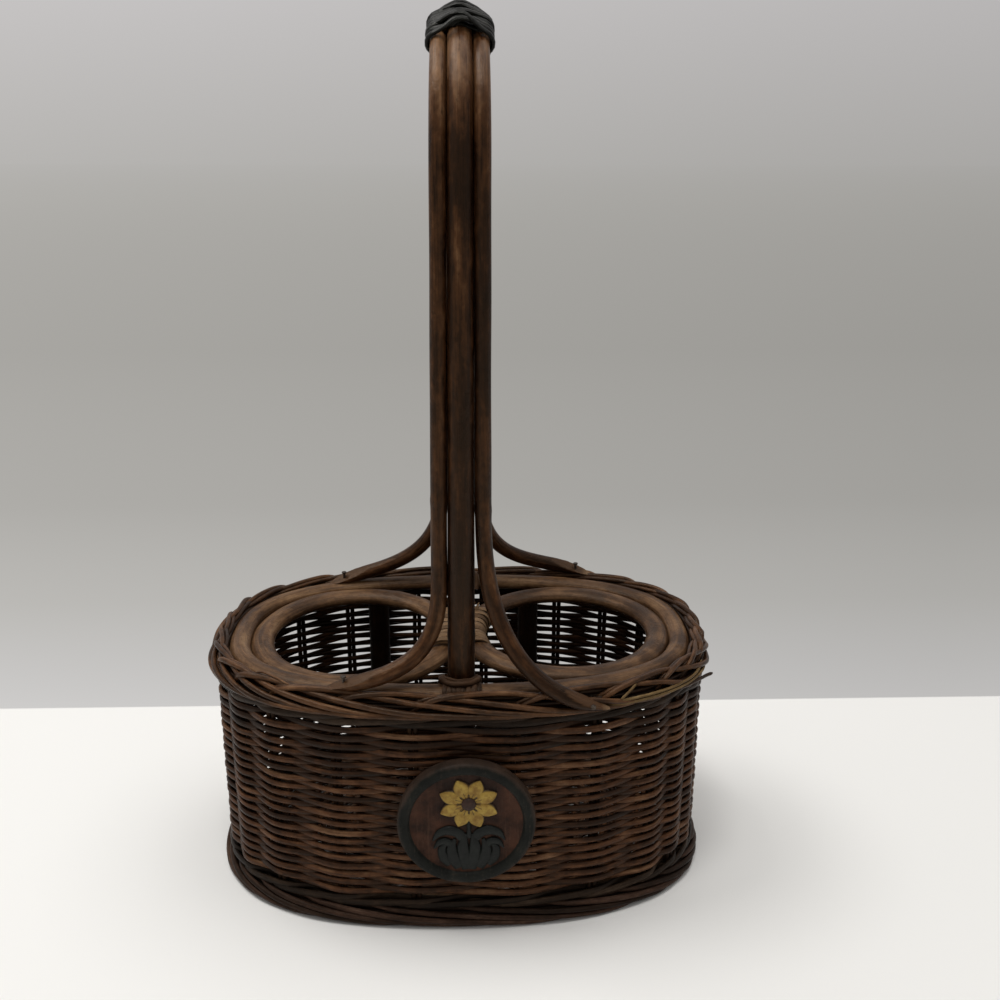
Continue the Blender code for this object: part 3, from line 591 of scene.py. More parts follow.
# Loose strands: radius, and turn share, offset and height over the border's underside at a few places
blonde_strands = (
    (0.80, ((0.832, 4.2, 1.6), (0.848, 5.6, 2.0), (0.870, 6.4, 2.2), (0.900, 6.4, 2.0), (0.928, 6.0, 1.6),
            (0.942, 5.0, 2.0))),
    (0.75, ((0.838, 4.8, 3.6), (0.860, 5.8, 4.0), (0.890, 6.2, 3.8), (0.914, 6.0, 3.8), (0.934, 4.0, 5.2))),
    (0.70, ((0.8455, 5.2, 4.6), (0.8510, 4.4, 7.2), (0.8575, 2.4, 9.6))),
)
left_loop = 0.55, ((0.612, -1.8, 10.4), (0.622, -1.6, 13.2), (0.636, -0.6, 12.6), (0.648, 0.4, 9.8))
grey_end = 0.95, ((0.893, 5.6, 0.6), (0.913, 6.6, 0.0), (0.927, 8.2, -0.8), (0.934, 10.4, -1.0))


def smooth_route(route, steps):
    """Progress, offset and height along a route, rounded off."""
    share, offset, height = np.array(route).T
    u = np.linspace(0, 1, steps)
    return u, smoothed(np.interp(u, share, offset), 3) * MM, smoothed(np.interp(u, share, height), 3) * MM


def thin_strand(strands, radius, route, tone):
    u = np.linspace(0, 1, 30)
    at = np.linspace(0, 1, len(route))
    turn, offset, height = (smoothed(np.interp(u, at, values), 6) for values in np.array(route).T)
    path = on_wall(turn, offset * MM, border_bottom + height * MM)
    strands.add(path, radius * MM * np.interp(u, (0, 0.1, 0.9, 1), (0.6, 1, 1, 0.45)), tone=tone)


def fill_core(strands, places, bottom, radius, tone):
    """Closed rods inside a border, that keep light from coming through between its strands. Their dark tone
    is painted shade in the gaps between the strands.
    """
    for offset, height in places:
        path = on_wall(ring_turns(260), offset * MM, bottom + height * MM)
        strands.add(path, radius, closed=True, tone=tone)


def build_border():
    strands = Strands(30)
    u, d, z = smooth_route(border_route, 60)
    usual_stake_gap = 44 * MM
    for k in range(stake_count):
        # Strands reach over more stakes where these stand closer
        stake_gap = np.linalg.norm(oval(turn_at_stake(k + 2.0))[0] - oval(turn_at_stake(float(k)))[0]) / 2
        longer = (usual_stake_gap / stake_gap) ** 0.4
        number = k + u * border_span_stakes * (1 + 0.07 * wander(k * 1.9, 31)) * longer
        loose = 0.45 * MM * wander(number * 1.4 + k * 3.1, 32 + k)
        loose = loose * np.interp(u, (0, 0.1, 0.9, 1), (0, 1, 1, 0.3))
        radius = 1.42 * MM * (1 + 0.10 * wander(k * 2.7, 33))
        radius = radius * np.interp(u, (0, 0.06, 0.8, 1), (0.9, 1, 1, 0.75))
        path = on_wall(turn_at_stake(number), d + loose, border_bottom + z + 0.6 * loose)
        strands.add(path, radius, sides=10, tone=border_tones[k] + 0.10 * wander(u * 6, 200 + k))
        # The second rod of the pair lies behind the first and shows in places; its tone is painted darker, as
        # shade behind the first rod
        lower = (0.9 + 0.5 * wander(k * 1.7, 34)) * MM
        path = on_wall(turn_at_stake(number - 0.10), d - 2.1 * MM - 0.5 * loose,
                       border_bottom + np.maximum(z - lower, 1.3 * MM))
        strands.add(path, radius * 0.88, tone=border_tones[k] * 0.7)
    fill_core(strands, border_core, border_bottom, 1.4 * MM, 0.0)
    thin_strand(strands, *left_loop, 0.6)
    thin_strand(strands, *grey_end, 0.35)
    strands.piece("rolled_border", border_wood, ["top_border"])
    strands = Strands(35)
    for radius, route in blonde_strands:
        thin_strand(strands, radius, route, 0.6)
    strands.piece("undyed_border_strands", blonde_wood, ["top_border"])


def build_foot():
    strands = Strands(40)
    u, d, z = smooth_route(foot_route, 36)
    rng = np.random.default_rng(41)
    for k in range(stake_count):
        number = k + 0.4 + u * foot_span_stakes * (1 + 0.05 * wander(k * 1.3, 42))
        loose = 0.30 * MM * wander(number * 1.2 + k * 2.2, 43 + k)
        radius = 1.50 * MM * (1 + 0.08 * wander(k * 2.1, 44))
        radius = radius * np.interp(u, (0, 0.1, 0.85, 1), (0.85, 1, 1, 0.8))
        path = on_wall(turn_at_stake(number), d + loose, np.maximum(z, radius))
        strands.add(path, radius, sides=10, tone=rng.uniform(0.3, 0.75))
    fill_core(strands, foot_core, 0.0, 1.5 * MM, 0.05)
    strands.piece("rolled_foot", foot_wood, ["foot_border"])


# Base


def build_base():
    """Woven oval mat on spokes, with its hoop and the three sticks below it."""
    inset = 12.9 * MM
    mat_z = 6.2 * MM
    pitch = 2.62 * MM
    rows = 25
    spokes = 33
    steps_per_spoke = 6
    long_axis, short_axis = wall_half_length - inset, wall_half_depth - inset

    def mat_path(turn, shrink, lift):
        x, y = superellipse(turn, long_axis - shrink, np.maximum(short_axis - shrink, 0.4 * MM))
        return points_at(x, y, mat_z + lift)

    strands = Strands(50)
    turn = ring_turns(spokes * steps_per_spoke)
    for row in range(rows):
        lift = 1.25 * MM * np.cos(math.pi * (turn * spokes + row)) * min(1.0, (rows + 1 - row) / 8)
        strands.add(mat_path(turn, pitch * (row + 0.5), lift), 1.22 * MM, 1.12 * MM, sides=6, closed=True,
                    tone=0.45 + 0.3 * wander(turn * 6, 51 + row))
    for spoke in range(spokes):
        path = mat_path(np.full(12, (spoke + 0.5) / spokes), np.linspace(0, short_axis * 0.97, 12), 0.0)
        strands.add(path, 1.1 * MM, 1.0 * MM, sides=6, tone=0.4)
    strands.piece("woven_base", wicker_wood, ["base_mat"])

    strands = Strands(55)
    turn = ring_turns(220)
    middle = box_of("base_hoop")[2]
    strands.add(on_wall(turn, -8.7 * MM, middle.z), 3.9 * MM, 3.7 * MM, sides=12, closed=True,
                tone=0.5 + 0.3 * wander(turn * 9, 56))
    strands.piece("base_hoop_rod", rattan_wood, ["base_hoop"])
    for index in (1, 2, 3):
        low, high, middle = box_of(f"base_stick_{index}")
        x = np.linspace(low.x, high.x, 40)
        strands = Strands(57 + index)
        strands.add(points_at(x, middle.y, middle.z), 1.6 * MM * (1 + 0.03 * wander(x * 40, index)), sides=12)
        strands.piece(f"base_rod_{index}", rattan_wood, [f"base_stick_{index}"])


# Rim hoop, rings, strap and posts


def knuckles(run, places):
    """Slight swellings where the cane had its joints."""
    return sum(np.exp(-(((run - place) / (2.2 * MM)) ** 2)) for place in places)


def build_hoop_and_rings():
    # The canes are a little wider than the flats of the model's rings
    fuller = 0.3 * MM
    turn = ring_turns(320)
    path = on_wall(turn, -hoop_inset, hoop_z)
    swell = 1 + 0.012 * wander_round(turn, 60) + 0.05 * knuckles(run_along(path), (0.12, 0.37, 0.60))
    # Painted light: the hoop's tone is a little lighter on the left and darker on the right, as if lit from
    # the left
    tone = 0.60 - 0.06 * np.cos(math.tau * turn) + 0.16 * wander_round(turn, 62)
    strands = Strands(61)
    strands.add(path, (hoop_half_width + fuller) * swell, hoop_half_height * swell, sides=18, closed=True,
                tone=tone)
    strands.piece("rim_hoop_cane", rattan_wood, ["rim_hoop"])
    turn = ring_turns(160)
    a = math.tau * turn
    for side, word, drop, tilt in ((-1, "left", 2.5 * MM, math.radians(1.7)), (1, "right", 1.0 * MM, 0.0)):
        y = ring_radius * np.sin(a)
        path = points_at(side * ring_centre_x + ring_radius * np.cos(a), y * math.cos(tilt),
                         hoop_z - drop + y * math.sin(tilt))
        swell = 1 + 0.015 * wander_round(turn, 63 + side) + 0.05 * knuckles(a * ring_radius, (0.06, 0.21))
        # Painted light: the left ring's tone is lighter and the right ring's darker, as if lit from the left
        tone = 0.54 - 0.10 * side + 0.16 * wander_round(turn, 67 + side)
        strands = Strands(65 + side)
        strands.add(path, (ring_half_width + fuller) * swell, ring_half_height * swell, sides=18, closed=True,
                    tone=tone)
        strands.piece(f"{word}_ring_cane", rattan_wood, [f"bottle_ring_{word}"])


def stadium_loop(half_width, half_height):
    """Closed loop and its outward directions, two half circles joined by straights, seen from the front."""
    middle = max(half_width - half_height, 0.0)
    a = math.pi * (np.arange(13) / 12 - 0.5)
    a = np.concatenate([a, a + math.pi])
    normals = points_at(np.cos(a), 0.0, np.sin(a))
    return half_height * normals + np.repeat([[middle, 0, 0], [-middle, 0, 0]], 13, 0), normals


def build_strap():
    """Flat cane wound round both rings where they come together."""
    strands = Strands(70)
    turns = 9
    half_thickness = 0.55 * MM
    low, high, middle = box_of("ring_binding")
    half_height = (high.z - low.z) / 2 - 0.6 * MM
    pitch = (high.y - low.y) / turns
    for k in range(turns):
        y = low.y + pitch * (k + 0.5)
        sag = ring_radius - math.sqrt(ring_radius**2 - y**2)
        half_width = ring_centre_x - ring_radius + sag + ring_half_width + half_thickness
        loop, normals = stadium_loop(half_width, half_height)
        slant = 0.9 * MM * np.sign(loop[:, 2]) * np.cos(np.linspace(0, math.tau, len(loop)))
        path = loop + points_at(0.0, y + slant + 0.3 * MM * wander(k * 2.3, 71), middle.z)
        path = path + normals * (0.15 * MM * wander(k * 3.3, 72))
        strands.add(path, pitch * 0.47, half_thickness, normals, 10, closed=True, corner=0.6,
                    tone=0.55 + 0.3 * wander(k * 2.9, 73))
    # Frayed end that stands up beside the pole
    s = np.linspace(0, 1, 8)
    for k, (x, lean) in enumerate(((6.5, 1.5), (8.0, 2.4), (9.2, 0.8))):
        path = points_at((x + lean * s) * MM, (18.5 - k + 1.2 * s) * MM,
                         middle.z + half_height + (0.3 + 4.2 * s) * MM)
        strands.add(path, 1.0 * MM * (1 - 0.6 * s), 0.35 * MM, (0.0, -1.0, 0.2), 6, tone=0.8)
    strands.piece("ring_strap", cane_wood, ["ring_binding"])


def build_posts():
    for node in ("post_back_left", "post_back_right", "post_front_left", "post_front_right"):
        low, high, middle = box_of(node)
        seed = len(node)
        z = np.linspace(low.z, high.z, 30)
        radius = (high.x - low.x) / 2 * (1 + 0.02 * wander(z * 50, seed) + 0.05 * knuckles(z, (0.07,)))
        strands = Strands(80 + seed)
        strands.add(points_at(middle.x, middle.y, z), radius, up=(0.0, 1.0, 0.0), sides=16, tone=0.4)
        strands.piece(node + "_cane", inner_wood, [node])


# Handle


def handle_x(z):
    return handle_foot_shift + handle_lean_share * z


def rod_radius(foot_radius, top_radius, z):
    return foot_radius + (top_radius - foot_radius) * np.minimum(z / apex_z, 1.0)


def side_lateral(side, z):
    """Sideways distance of a side rod from the pole's centre where it runs beside it."""
    pole = rod_radius(pole_foot_radius, pole_top_radius, z)
    rod = rod_radius(side_rod_foot_radius, side_rod_top_radius, z)
    return side * (pole + rod + rod_gap)


def arch(shares, side=0):
    """Points on the pole's half circle at the top, or on a side rod's, from the front to the back."""
    a = math.pi * shares
    z = spring_z + pole_y * np.sin(a)
    x = handle_x(z) + (side_lateral(side, z) if side else 0.0)
    low = np.sin(a) ** 3 * side_rod_drop if side else 0.0
    return points_at(x, -(pole_y - low) * np.cos(a), z - low * np.sin(a))


# Reach, offset from the wall's middle, tip height, slope, height where the rod leaves the pole, and sharpness
flares = {
    (-1, True): (0.0660, -0.0010, 0.1353, 0.0090, 0.2050, 4.2),
    (1, True): (0.0730, 0.0080, 0.1258, 0.0150, 0.2300, 3.0),
    (-1, False): (0.0785, -0.0105, 0.1340, 0.0120, 0.2050, 3.1),
    (1, False): (0.0785, -0.0010, 0.1350, 0.0110, 0.2050, 3.6),
}


def flare(side, front):
    """Flared end from its tip up to where the rod leaves the pole."""
    reach, offset, tip, droop, bend, power = flares[side, front]
    start_x = handle_x(bend) + side_lateral(side, bend)
    start_y = -pole_y if front else pole_y
    a = math.pi / 2 * ring_turns(44)
    out = 1 - np.sin(a) ** (2 / power)
    rise = 1 - np.cos(a) ** (2 / power)
    x = start_x + (side * reach - start_x) * out
    rim = on_wall(turn_at_x(x, front), offset, 0.0)
    y = start_y + (rim[:, 1] - start_y) * np.sin(math.pi / 2 * out)
    z = tip + droop * (1 - out) + (bend - tip - droop) * rise
    return np.vstack([points_at(x, y, z), [start_x, start_y, bend]])


# Painted light: the canes' tone is raised towards the grip, where the arch's top faces the lamps overhead
def painted_light_near_grip(path):
    return 0.55 * np.interp(path[:, 2], (0.385, 0.415), (0, 1))


def build_handle():
    shares = np.linspace(0, 1, 61)
    foot = 12.0 * MM
    feet = [[handle_x(foot), side * pole_y, foot] for side in (-1, 1)]
    path, run = respaced(np.vstack([feet[0], arch(shares), feet[1]]), 4 * MM)
    swell = 1.01 + 0.012 * wander(run * 30, 91) + 0.045 * knuckles(run, (0.145, 0.292, 0.52, 0.66, 0.79))
    radius = rod_radius(pole_foot_radius, pole_top_radius, path[:, 2]) * swell
    strands = Strands(90)
    strands.add(path, radius, up=(1.0, 0.0, 0.0), sides=18,
                tone=0.40 + painted_light_near_grip(path) + 0.20 * wander(run * 22, 92))
    strands.piece("handle_pole_cane", pole_wood, ["handle_pole"])
    for side, word in ((-1, "left"), (1, "right")):
        line = np.vstack([flare(side, True), arch(shares, side), flare(side, False)[::-1]])
        path, run = respaced(line, 1.6 * MM)
        end = np.minimum(run, run[-1] - run)
        radius = rod_radius(side_rod_foot_radius, side_rod_top_radius, path[:, 2]) + 0.2 * MM
        swell = 1 + 0.02 * wander(run * 35, 93 + side) + 0.05 * knuckles(run, (0.13, 0.38, 0.61, 0.83))
        radius = radius * swell
        taper = np.interp(end, (0.0, 4 * MM, 14 * MM, 24 * MM), (0.22, 0.60, 0.94, 1.0))
        # Each end is pared to a thin blade over its last three centimetres
        limit = np.interp(end, (0.0, 27 * MM, 35 * MM), (-0.30, 1.02, 3.0)) * radius
        bare = np.interp(end, (0.0, 3 * MM, 7 * MM), (1.0, 0.8, 0.5)) if side > 0 else np.full(len(end), 0.5)
        strands = Strands(95 + side)
        slope = unit(np.array((0.0, -0.35, 0.94)))
        strands.add(path, radius * taper, up=None, sides=24, pared=(slope, limit, bare),
                    tone=0.50 - 0.08 * side + painted_light_near_grip(path) + 0.20 * wander(run * 20, 96 + side))
        strands.piece(f"handle_rod_{word}_cane", pole_wood, [f"handle_side_rod_{word}"])


def bundle_outline():
    """Closed line round the three rods at the grip, with its outward directions, at even steps."""
    beside = pole_top_radius + side_rod_top_radius + rod_gap
    a = math.tau * ring_turns(720)
    c, s = np.cos(a), np.sin(a)
    on_side = np.abs(c) * beside + side_rod_top_radius > pole_top_radius
    radius = np.where(on_side, side_rod_top_radius, pole_top_radius)
    x = np.where(on_side, np.sign(c) * beside, 0.0) + radius * c
    y = radius * s - np.where(on_side, side_rod_drop, 0.0)
    line = np.stack([x, y, c, s], -1)
    line = np.vstack([line, line[:1]])
    run = run_along(line[:, :2])
    even = np.linspace(0, run[-1], 97)
    return [np.interp(even, run, values) for values in line.T]


def wound(loop_share, along, grow):
    """Points on a winding round the handle's bundle, and their outward directions."""
    at = np.linspace(0, 1, 97)
    x, y, nx, ny = (np.interp(loop_share % 1.0, at, values) for values in bundle_outline())
    length = np.hypot(nx, ny)
    share = 0.5 + along / (pole_y * math.pi)
    a = math.pi * share
    out = points_at(0.0, -np.cos(a), np.sin(a))
    across = np.array((1.0, 0.0, 0.0))
    face = across * (nx / length)[:, None] + out * (ny / length)[:, None]
    return arch(share) + across * x[:, None] + out * y[:, None] + face * grow[:, None], face


# Strands over the grip's turns: start along the arc, lean, number of turns, thickness, distance, extra height
# over the top, and the share of a turn where they begin
grip_overlays = (
    (-33.0, 3.4, 1.7, 1.50, 1.9, 2.4, 0.62), (-31.0, -3.6, 1.5, 1.45, 2.1, 3.0, 0.55),
    (-24.0, 4.6, 1.6, 1.45, 2.0, 1.0, 0.60), (-13.0, -3.8, 1.7, 1.40, 2.0, 0.4, 0.66),
    (-5.0, 7.5, 0.50, 2.00, 1.9, 0.8, 0.00), (3.0, -7.5, 0.50, 1.90, 1.9, 1.0, 0.00),
    (14.0, 4.2, 1.6, 1.45, 2.0, 0.2, 0.58), (22.0, -4.4, 1.6, 1.45, 2.0, 0.8, 0.64),
    (31.0, 3.6, 1.6, 1.55, 2.0, 2.2, 0.60),
)


def build_grip():
    """Dark strand wound round the three rods at the apex, with others laid askew over its turns."""
    strands = Strands(110)
    turns = 22
    steps = 48
    breadth = 3.3 * MM
    half = grip_half_length - breadth / 2
    i = np.arange(turns * steps + 1)
    number = i / steps
    lean = 1.5 * MM * wander(number * 0.8, 111) * np.cos(math.tau * number + 0.9 * wander(number * 0.5, 115))
    along = half * (2 * i / (turns * steps) - 1) * 0.95 + 1.3 * MM + lean
    grow = 0.95 * MM + 0.35 * MM * wander(number * 2.6, 112)
    path, face = wound(number, np.clip(along, -half, half), grow)
    tone = np.clip(0.45 + 0.4 * wander(number * 1.3, 113), 0, 1)
    strands.add(path, breadth / 2 * (1 + 0.1 * wander(number * 3.1, 114)), 1.1 * MM, face, tone=tone)
    for start, lean, count, thick, rise, crown, first in grip_overlays:
        j = np.arange(int(count * steps) + 1)
        number = first + j / steps
        along = (start + 2.2 * (j / steps - count / 2) + lean * np.cos(math.tau * number)) * MM
        end = np.minimum(j, j[-1] - j) / steps
        # The strands stand off over the top and lie close underneath, where both ends are tucked in
        high = np.sin(math.tau * number)
        over = 1.0 + (rise - 1.0) * (0.45 + 0.55 * np.clip(0.5 + high, 0, 1))
        over = over + crown * np.clip(high, 0, 1) ** 3
        grow = np.interp(end, (0.0, 0.14), (0.2, 1.0)) * over + 0.15 * wander(number * 4, int(start) + 150)
        path, face = wound(number, np.clip(along, -half - 0.8 * MM, half), grow * MM)
        strands.add(path, thick * MM * np.interp(end, (0, 0.06), (0.5, 1)), thick * 0.70 * MM, face,
                    tone=0.5 + 0.25 * wander(number * 3, int(start) + 160))
    strands.piece("grip_winding", grip_wood, ["grip_wrap"])


def build_collar(end, outer):
    """Cane laid round the outer half of the pole, with both ends bent down behind the hoop."""
    low, high, middle = box_of(f"collar_{end}")
    strands = Strands(120 + (end == "front"))
    radius = (high.x - low.x) / 2 - 1.3 * MM
    b = np.linspace(0, math.pi, 40)
    drop = np.linspace(1, 0, 10)[:, None]
    for level, grow, thick, seed in ((-1.9, 0.0, 1.75, 126), (-0.5, -0.9, 0.85, 127)):
        x = middle.x + (radius + grow * MM) * np.cos(b)
        y = middle.y + outer * (3.6 * MM + (radius - 2.4 * MM + grow * MM) * np.sin(b))
        z = middle.z + level * MM + 0.25 * MM * wander(b * 3, seed)
        bow = points_at(x, y, z)
        tip_y, tip_z = middle.y - outer * 0.5 * MM, low.z - 7.0 * MM
        first, last = (knee + (np.array((knee[0], tip_y, tip_z)) - knee) * drop for knee in (bow[0], bow[-1]))
        path = smoothed(np.vstack([first[:-1], bow, last[::-1][1:]]), 4)
        strands.add(path, thick * MM, thick * 0.92 * MM, None, 12, tone=0.55)
    strands.piece(f"pole_collar_{end}", lash_wood, [f"collar_{end}"])


def build_lashing(end, front):
    """Flat cane wound round the hoop under the collar."""
    turns = 8
    pitch = 2.45 * MM
    strands = Strands(122 + front)
    a = math.tau * ring_turns(48)
    c, s = np.cos(a)[:, None], np.sin(a)[:, None]
    for k in range(turns):
        turn = turn_at_x(handle_x(hoop_z) + (k - (turns - 1) / 2) * pitch, front)
        normal, along = beside_wall(turn)
        grow = 0.75 * MM + 0.12 * MM * wander(k * 2.1, 124)
        path = on_wall(turn, -hoop_inset, hoop_z) + normal * (hoop_half_width + grow) * c
        path = path + UP * (hoop_half_height + grow) * s + along * 0.35 * MM * np.sin(a + k)[:, None]
        up = unit(normal * hoop_half_height * c + UP * hoop_half_width * s)
        strands.add(path, 1.16 * MM, 0.5 * MM, up, closed=True, corner=0.7,
                    tone=0.4 + 0.3 * wander(k * 1.7, 125))
    strands.piece(f"hoop_lashing_{end}", lash_wood, [f"lashing_{end}"])


# Medallion


def lathe(strands, outline, centre, segments, tones, worn=0.0):
    """Turns (radius, depth) points about an axis that faces the front."""
    a = math.tau * ring_turns(segments)
    radius, depth = np.array(outline).T[..., None]
    points = points_at(centre[0] + radius * np.cos(a), centre[1] - depth, centre[2] + radius * np.sin(a))
    points = points.reshape(-1, 3)
    n = len(outline)
    faces = []
    for i in range(0, (n - 1) * segments, segments):
        for j in range(segments):
            k = (j + 1) % segments
            faces.append((i + j, i + k, i + segments + k, i + segments + j))
    faces += [range(segments - 1, -1, -1), range((n - 1) * segments, n * segments)]
    tones, worn = (np.repeat(np.broadcast_to(values, n), segments) for values in (tones, worn))
    strands.store(points, faces, points.copy(), tones, worn)


def build_medallion():
    back_y = box_of("medallion_disc")[1].y
    r, t = medallion_radius, medallion_thickness
    inner = r - 6.2 * MM
    face_depth = 2.2
    # From the back round the rim and down to the face, as radius and depth
    outline = [(0.90 * r, 0.0), (r - 0.6 * MM, 0.0), (r - 0.1 * MM, 0.7 * MM), (r, 1.6 * MM)]
    for radius, places in (
        (r, ((0, 2.0), (-0.4, 0.9), (-1.3, 0.25), (-2.4, 0))),
        (inner, ((2.0, 0), (1.0, 0.3), (0.3, 1.0), (0, 2.0), (-0.6, face_depth))),
        (inner * 0.8, ((0, 2.15),)), (inner * 0.5, ((0, 2.25),)), (inner * 0.2, ((0, face_depth),)),
    ):
        outline += [(radius + out * MM, t - depth * MM) for out, depth in places]
    tones = [0.0] * 10 + [0.05, 0.5] + [1.0] * 4
    worn = [0.4, 0.8, 1.0, 1.0, 0.9, 0.8, 0.5, 0.15, 0.1, 0.3, 0.1] + [0.0] * 5
    strands = Strands(130)
    lathe(strands, outline, (medallion_x, back_y, medallion_height), 96, tones, worn)
    strands.piece("medallion_plaque", plaque_paint(), ["medallion_disc"], 60)

    face_y = back_y - (t - face_depth * MM)
    build_petals(face_y)
    dome = [(3.7 * MM * math.cos(a), 1.0 * MM + 1.9 * MM * math.sin(a)) for a in np.linspace(0, 1.35, 8)]
    strands = Strands(134)
    lathe(strands, [(3.5 * MM, 0.2 * MM), *dome], (flower_x, face_y, flower_z), 40, 0.5)
    brown = painted("button_paint", (0.045, 0.022, 0.015), (0.11, 0.06, 0.04), (0.018, 0.010, 0.008), 0.62)
    strands.piece("flower_button", brown, ["medallion_flower_centre"])
    build_leaves(face_y)


def build_petals(face_y):
    """Eight domed petals with a dark edge and three dark strokes at the root."""
    petals = 8
    across, along = 11, 16
    root = 2.6 * MM
    strands = Strands(131)
    s = np.linspace(0, 1, along)[:, None]
    column = np.arange(across)
    v = 2 * column / (across - 1) - 1
    stroke_length = np.select([column == 5, (column == 2) | (column == 8)], [0.36, 0.26], 0.0)
    edge = np.maximum(np.abs(v), (s - 0.93) / 0.07)
    tone = np.clip(np.maximum(edge, s < stroke_length), 0, 1).ravel()
    half = 4.25 * MM * np.sin(math.pi * (0.10 + 0.90 * s) ** 1.25) ** 0.85
    half[-1] = 0.25 * MM
    dome = np.sqrt(np.maximum(0.0, 1 - v * v)) * np.sin(math.pi * (0.1 + 0.86 * s)) ** 0.6
    height = (0.35 + 1.35 * dome - 0.35 * np.exp(-((v / 0.16) ** 2)) * (1 - s)) * MM
    grid = np.arange(along * across).reshape(along, across)
    under = grid.size
    faces = []
    for q in grid[:-1, :-1].ravel():
        faces.append((q + across, q + across + 1, q + 1, q))
        q = q + under
        faces.append((q + 1, q + across + 1, q + across, q))
    rim = [*grid[0], *grid[1:, -1], *grid[-1, -2::-1], *grid[-2:0:-1, 0]]
    faces += [(w, w + under, q + under, q) for q, w in zip(rim, rim[1:] + rim[:1])]
    for k in range(petals):
        turn = math.tau * (k + 0.5) / petals + 0.02 * wander(k * 2.2, 132)
        reach = 14.5 * MM * (1 + 0.03 * wander(k * 3.1, 133))
        out = root + (reach - root) * s
        x = flower_x + 1.05 * (math.cos(turn) * out - math.sin(turn) * v * half)
        z = flower_z + math.sin(turn) * out + math.cos(turn) * v * half
        levels = face_y - height, face_y - 0.02 * MM
        points = np.concatenate([points_at(x, y, z).reshape(-1, 3) for y in levels])
        strands.store(points, faces, points.copy(), np.concatenate([tone, np.ones(under)]), 0.0)
    strands.piece("flower_petals", petal_paint(), ["medallion_petals"], 60)


def curve_through(points):
    """Smooth line through a few (x, z) points."""
    p = np.array([points[0], *points, points[-1]])
    spans = len(points) - 1
    t = ring_turns(24 // spans)[:, None]
    parts = [0.5 * (2 * p[i] + (p[i + 1] - p[i - 1]) * t
                    + (2 * p[i - 1] - 5 * p[i] + 4 * p[i + 1] - p[i + 2]) * t**2
                    + (3 * p[i] - p[i - 1] - 3 * p[i + 1] + p[i + 2]) * t**3) for i in range(1, spans + 1)]
    return np.vstack([*parts, p[-1]])


def leaf_blade(strands, line, widths, face_y, height):
    """A rounded blade along a line of (x, z) points."""
    x, z = np.array(line).T
    path, _ = respaced(points_at(x, 0.0, z) * MM, 0.7 * MM)
    s = np.linspace(0, 1, len(path))
    half = np.interp(s, np.linspace(0, 1, len(widths)), widths) * MM
    path = path + np.array((flower_x, face_y - 0.3 * MM, medallion_height))
    strands.add(path, half, height * MM * (0.35 + 0.65 * np.sin(math.pi * s)), TOWARDS_FRONT, 12, tone=0.5)


def build_leaves(face_y):
    strands = Strands(140)
    leaf_blade(strands, [(0.0, 3.0), (0.0, -8.0)], (0.9, 1.0, 1.6), face_y, 1.3)
    for side in (-1, 1):
        for points, widths, height in (
            (((0.6, -26.2), (2.0, -20.0), (3.0, -13.0), (1.8, -5.5)), (3.0, 3.4, 3.0, 0.9), 1.75),
            (((5.0, -25.6), (7.6, -20.0), (8.6, -14.0), (7.0, -8.5)), (2.4, 3.2, 2.8, 0.8), 1.45),
            (((9.8, -24.0), (12.8, -19.0), (13.4, -14.0), (10.5, -10.5)), (1.6, 2.6, 2.2, 0.7), 1.15),
            (((2.0, -11.0), (5.0, -5.6), (10.0, -3.6), (15.0, -5.4), (18.0, -9.5)),
             (1.8, 2.7, 2.8, 2.1, 0.4), 1.4),
            (((7.5, -14.0), (11.0, -10.0), (14.5, -10.4), (17.4, -14.0)), (1.8, 2.2, 1.8, 0.4), 1.30),
        ):
            line = curve_through([(side * x, z) for x, z in points])
            leaf_blade(strands, line, widths, face_y, height)
    green = painted("leaf_paint", (0.0083, 0.0102, 0.0084), (0.03, 0.03, 0.0235), (0.0052, 0.0062, 0.0052),
                    0.66)
    strands.piece("flower_leaves", green, ["medallion_leaves"])


def dress_nails():
    metal = nail_metal()
    for name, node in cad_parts.items():
        if name.startswith("nail_"):
            for slot in node.material_slots:
                slot.material = metal


# Camera, light and floor


def build_camera():
    """The photo's view, solved from the ovals and the straight pole."""
    pitch, yaw, roll = math.radians(19.163), math.radians(1.827), math.radians(0.183)
    place = Vector((3.28, -568.26, 403.44)) * MM
    ahead = Vector((math.sin(yaw) * math.cos(pitch), math.cos(yaw) * math.cos(pitch), -math.sin(pitch)))
    level = Vector((math.cos(yaw), -math.sin(yaw), 0.0))
    above = level.cross(ahead)
    right = level * math.cos(roll) + above * math.sin(roll)
    over = above * math.cos(roll) - level * math.sin(roll)
    data = bpy.data.cameras.new("camera")
    data.lens = 40.81
    data.sensor_width = 36.0
    data.clip_start = 0.01
    data.clip_end = 20.0
    camera = placed("camera", data)
    turned = Matrix((right, over, -ahead)).transposed().to_4x4()
    camera.matrix_world = Matrix.Translation(place + SHIFT) @ turned
    bpy.context.scene.camera = camera


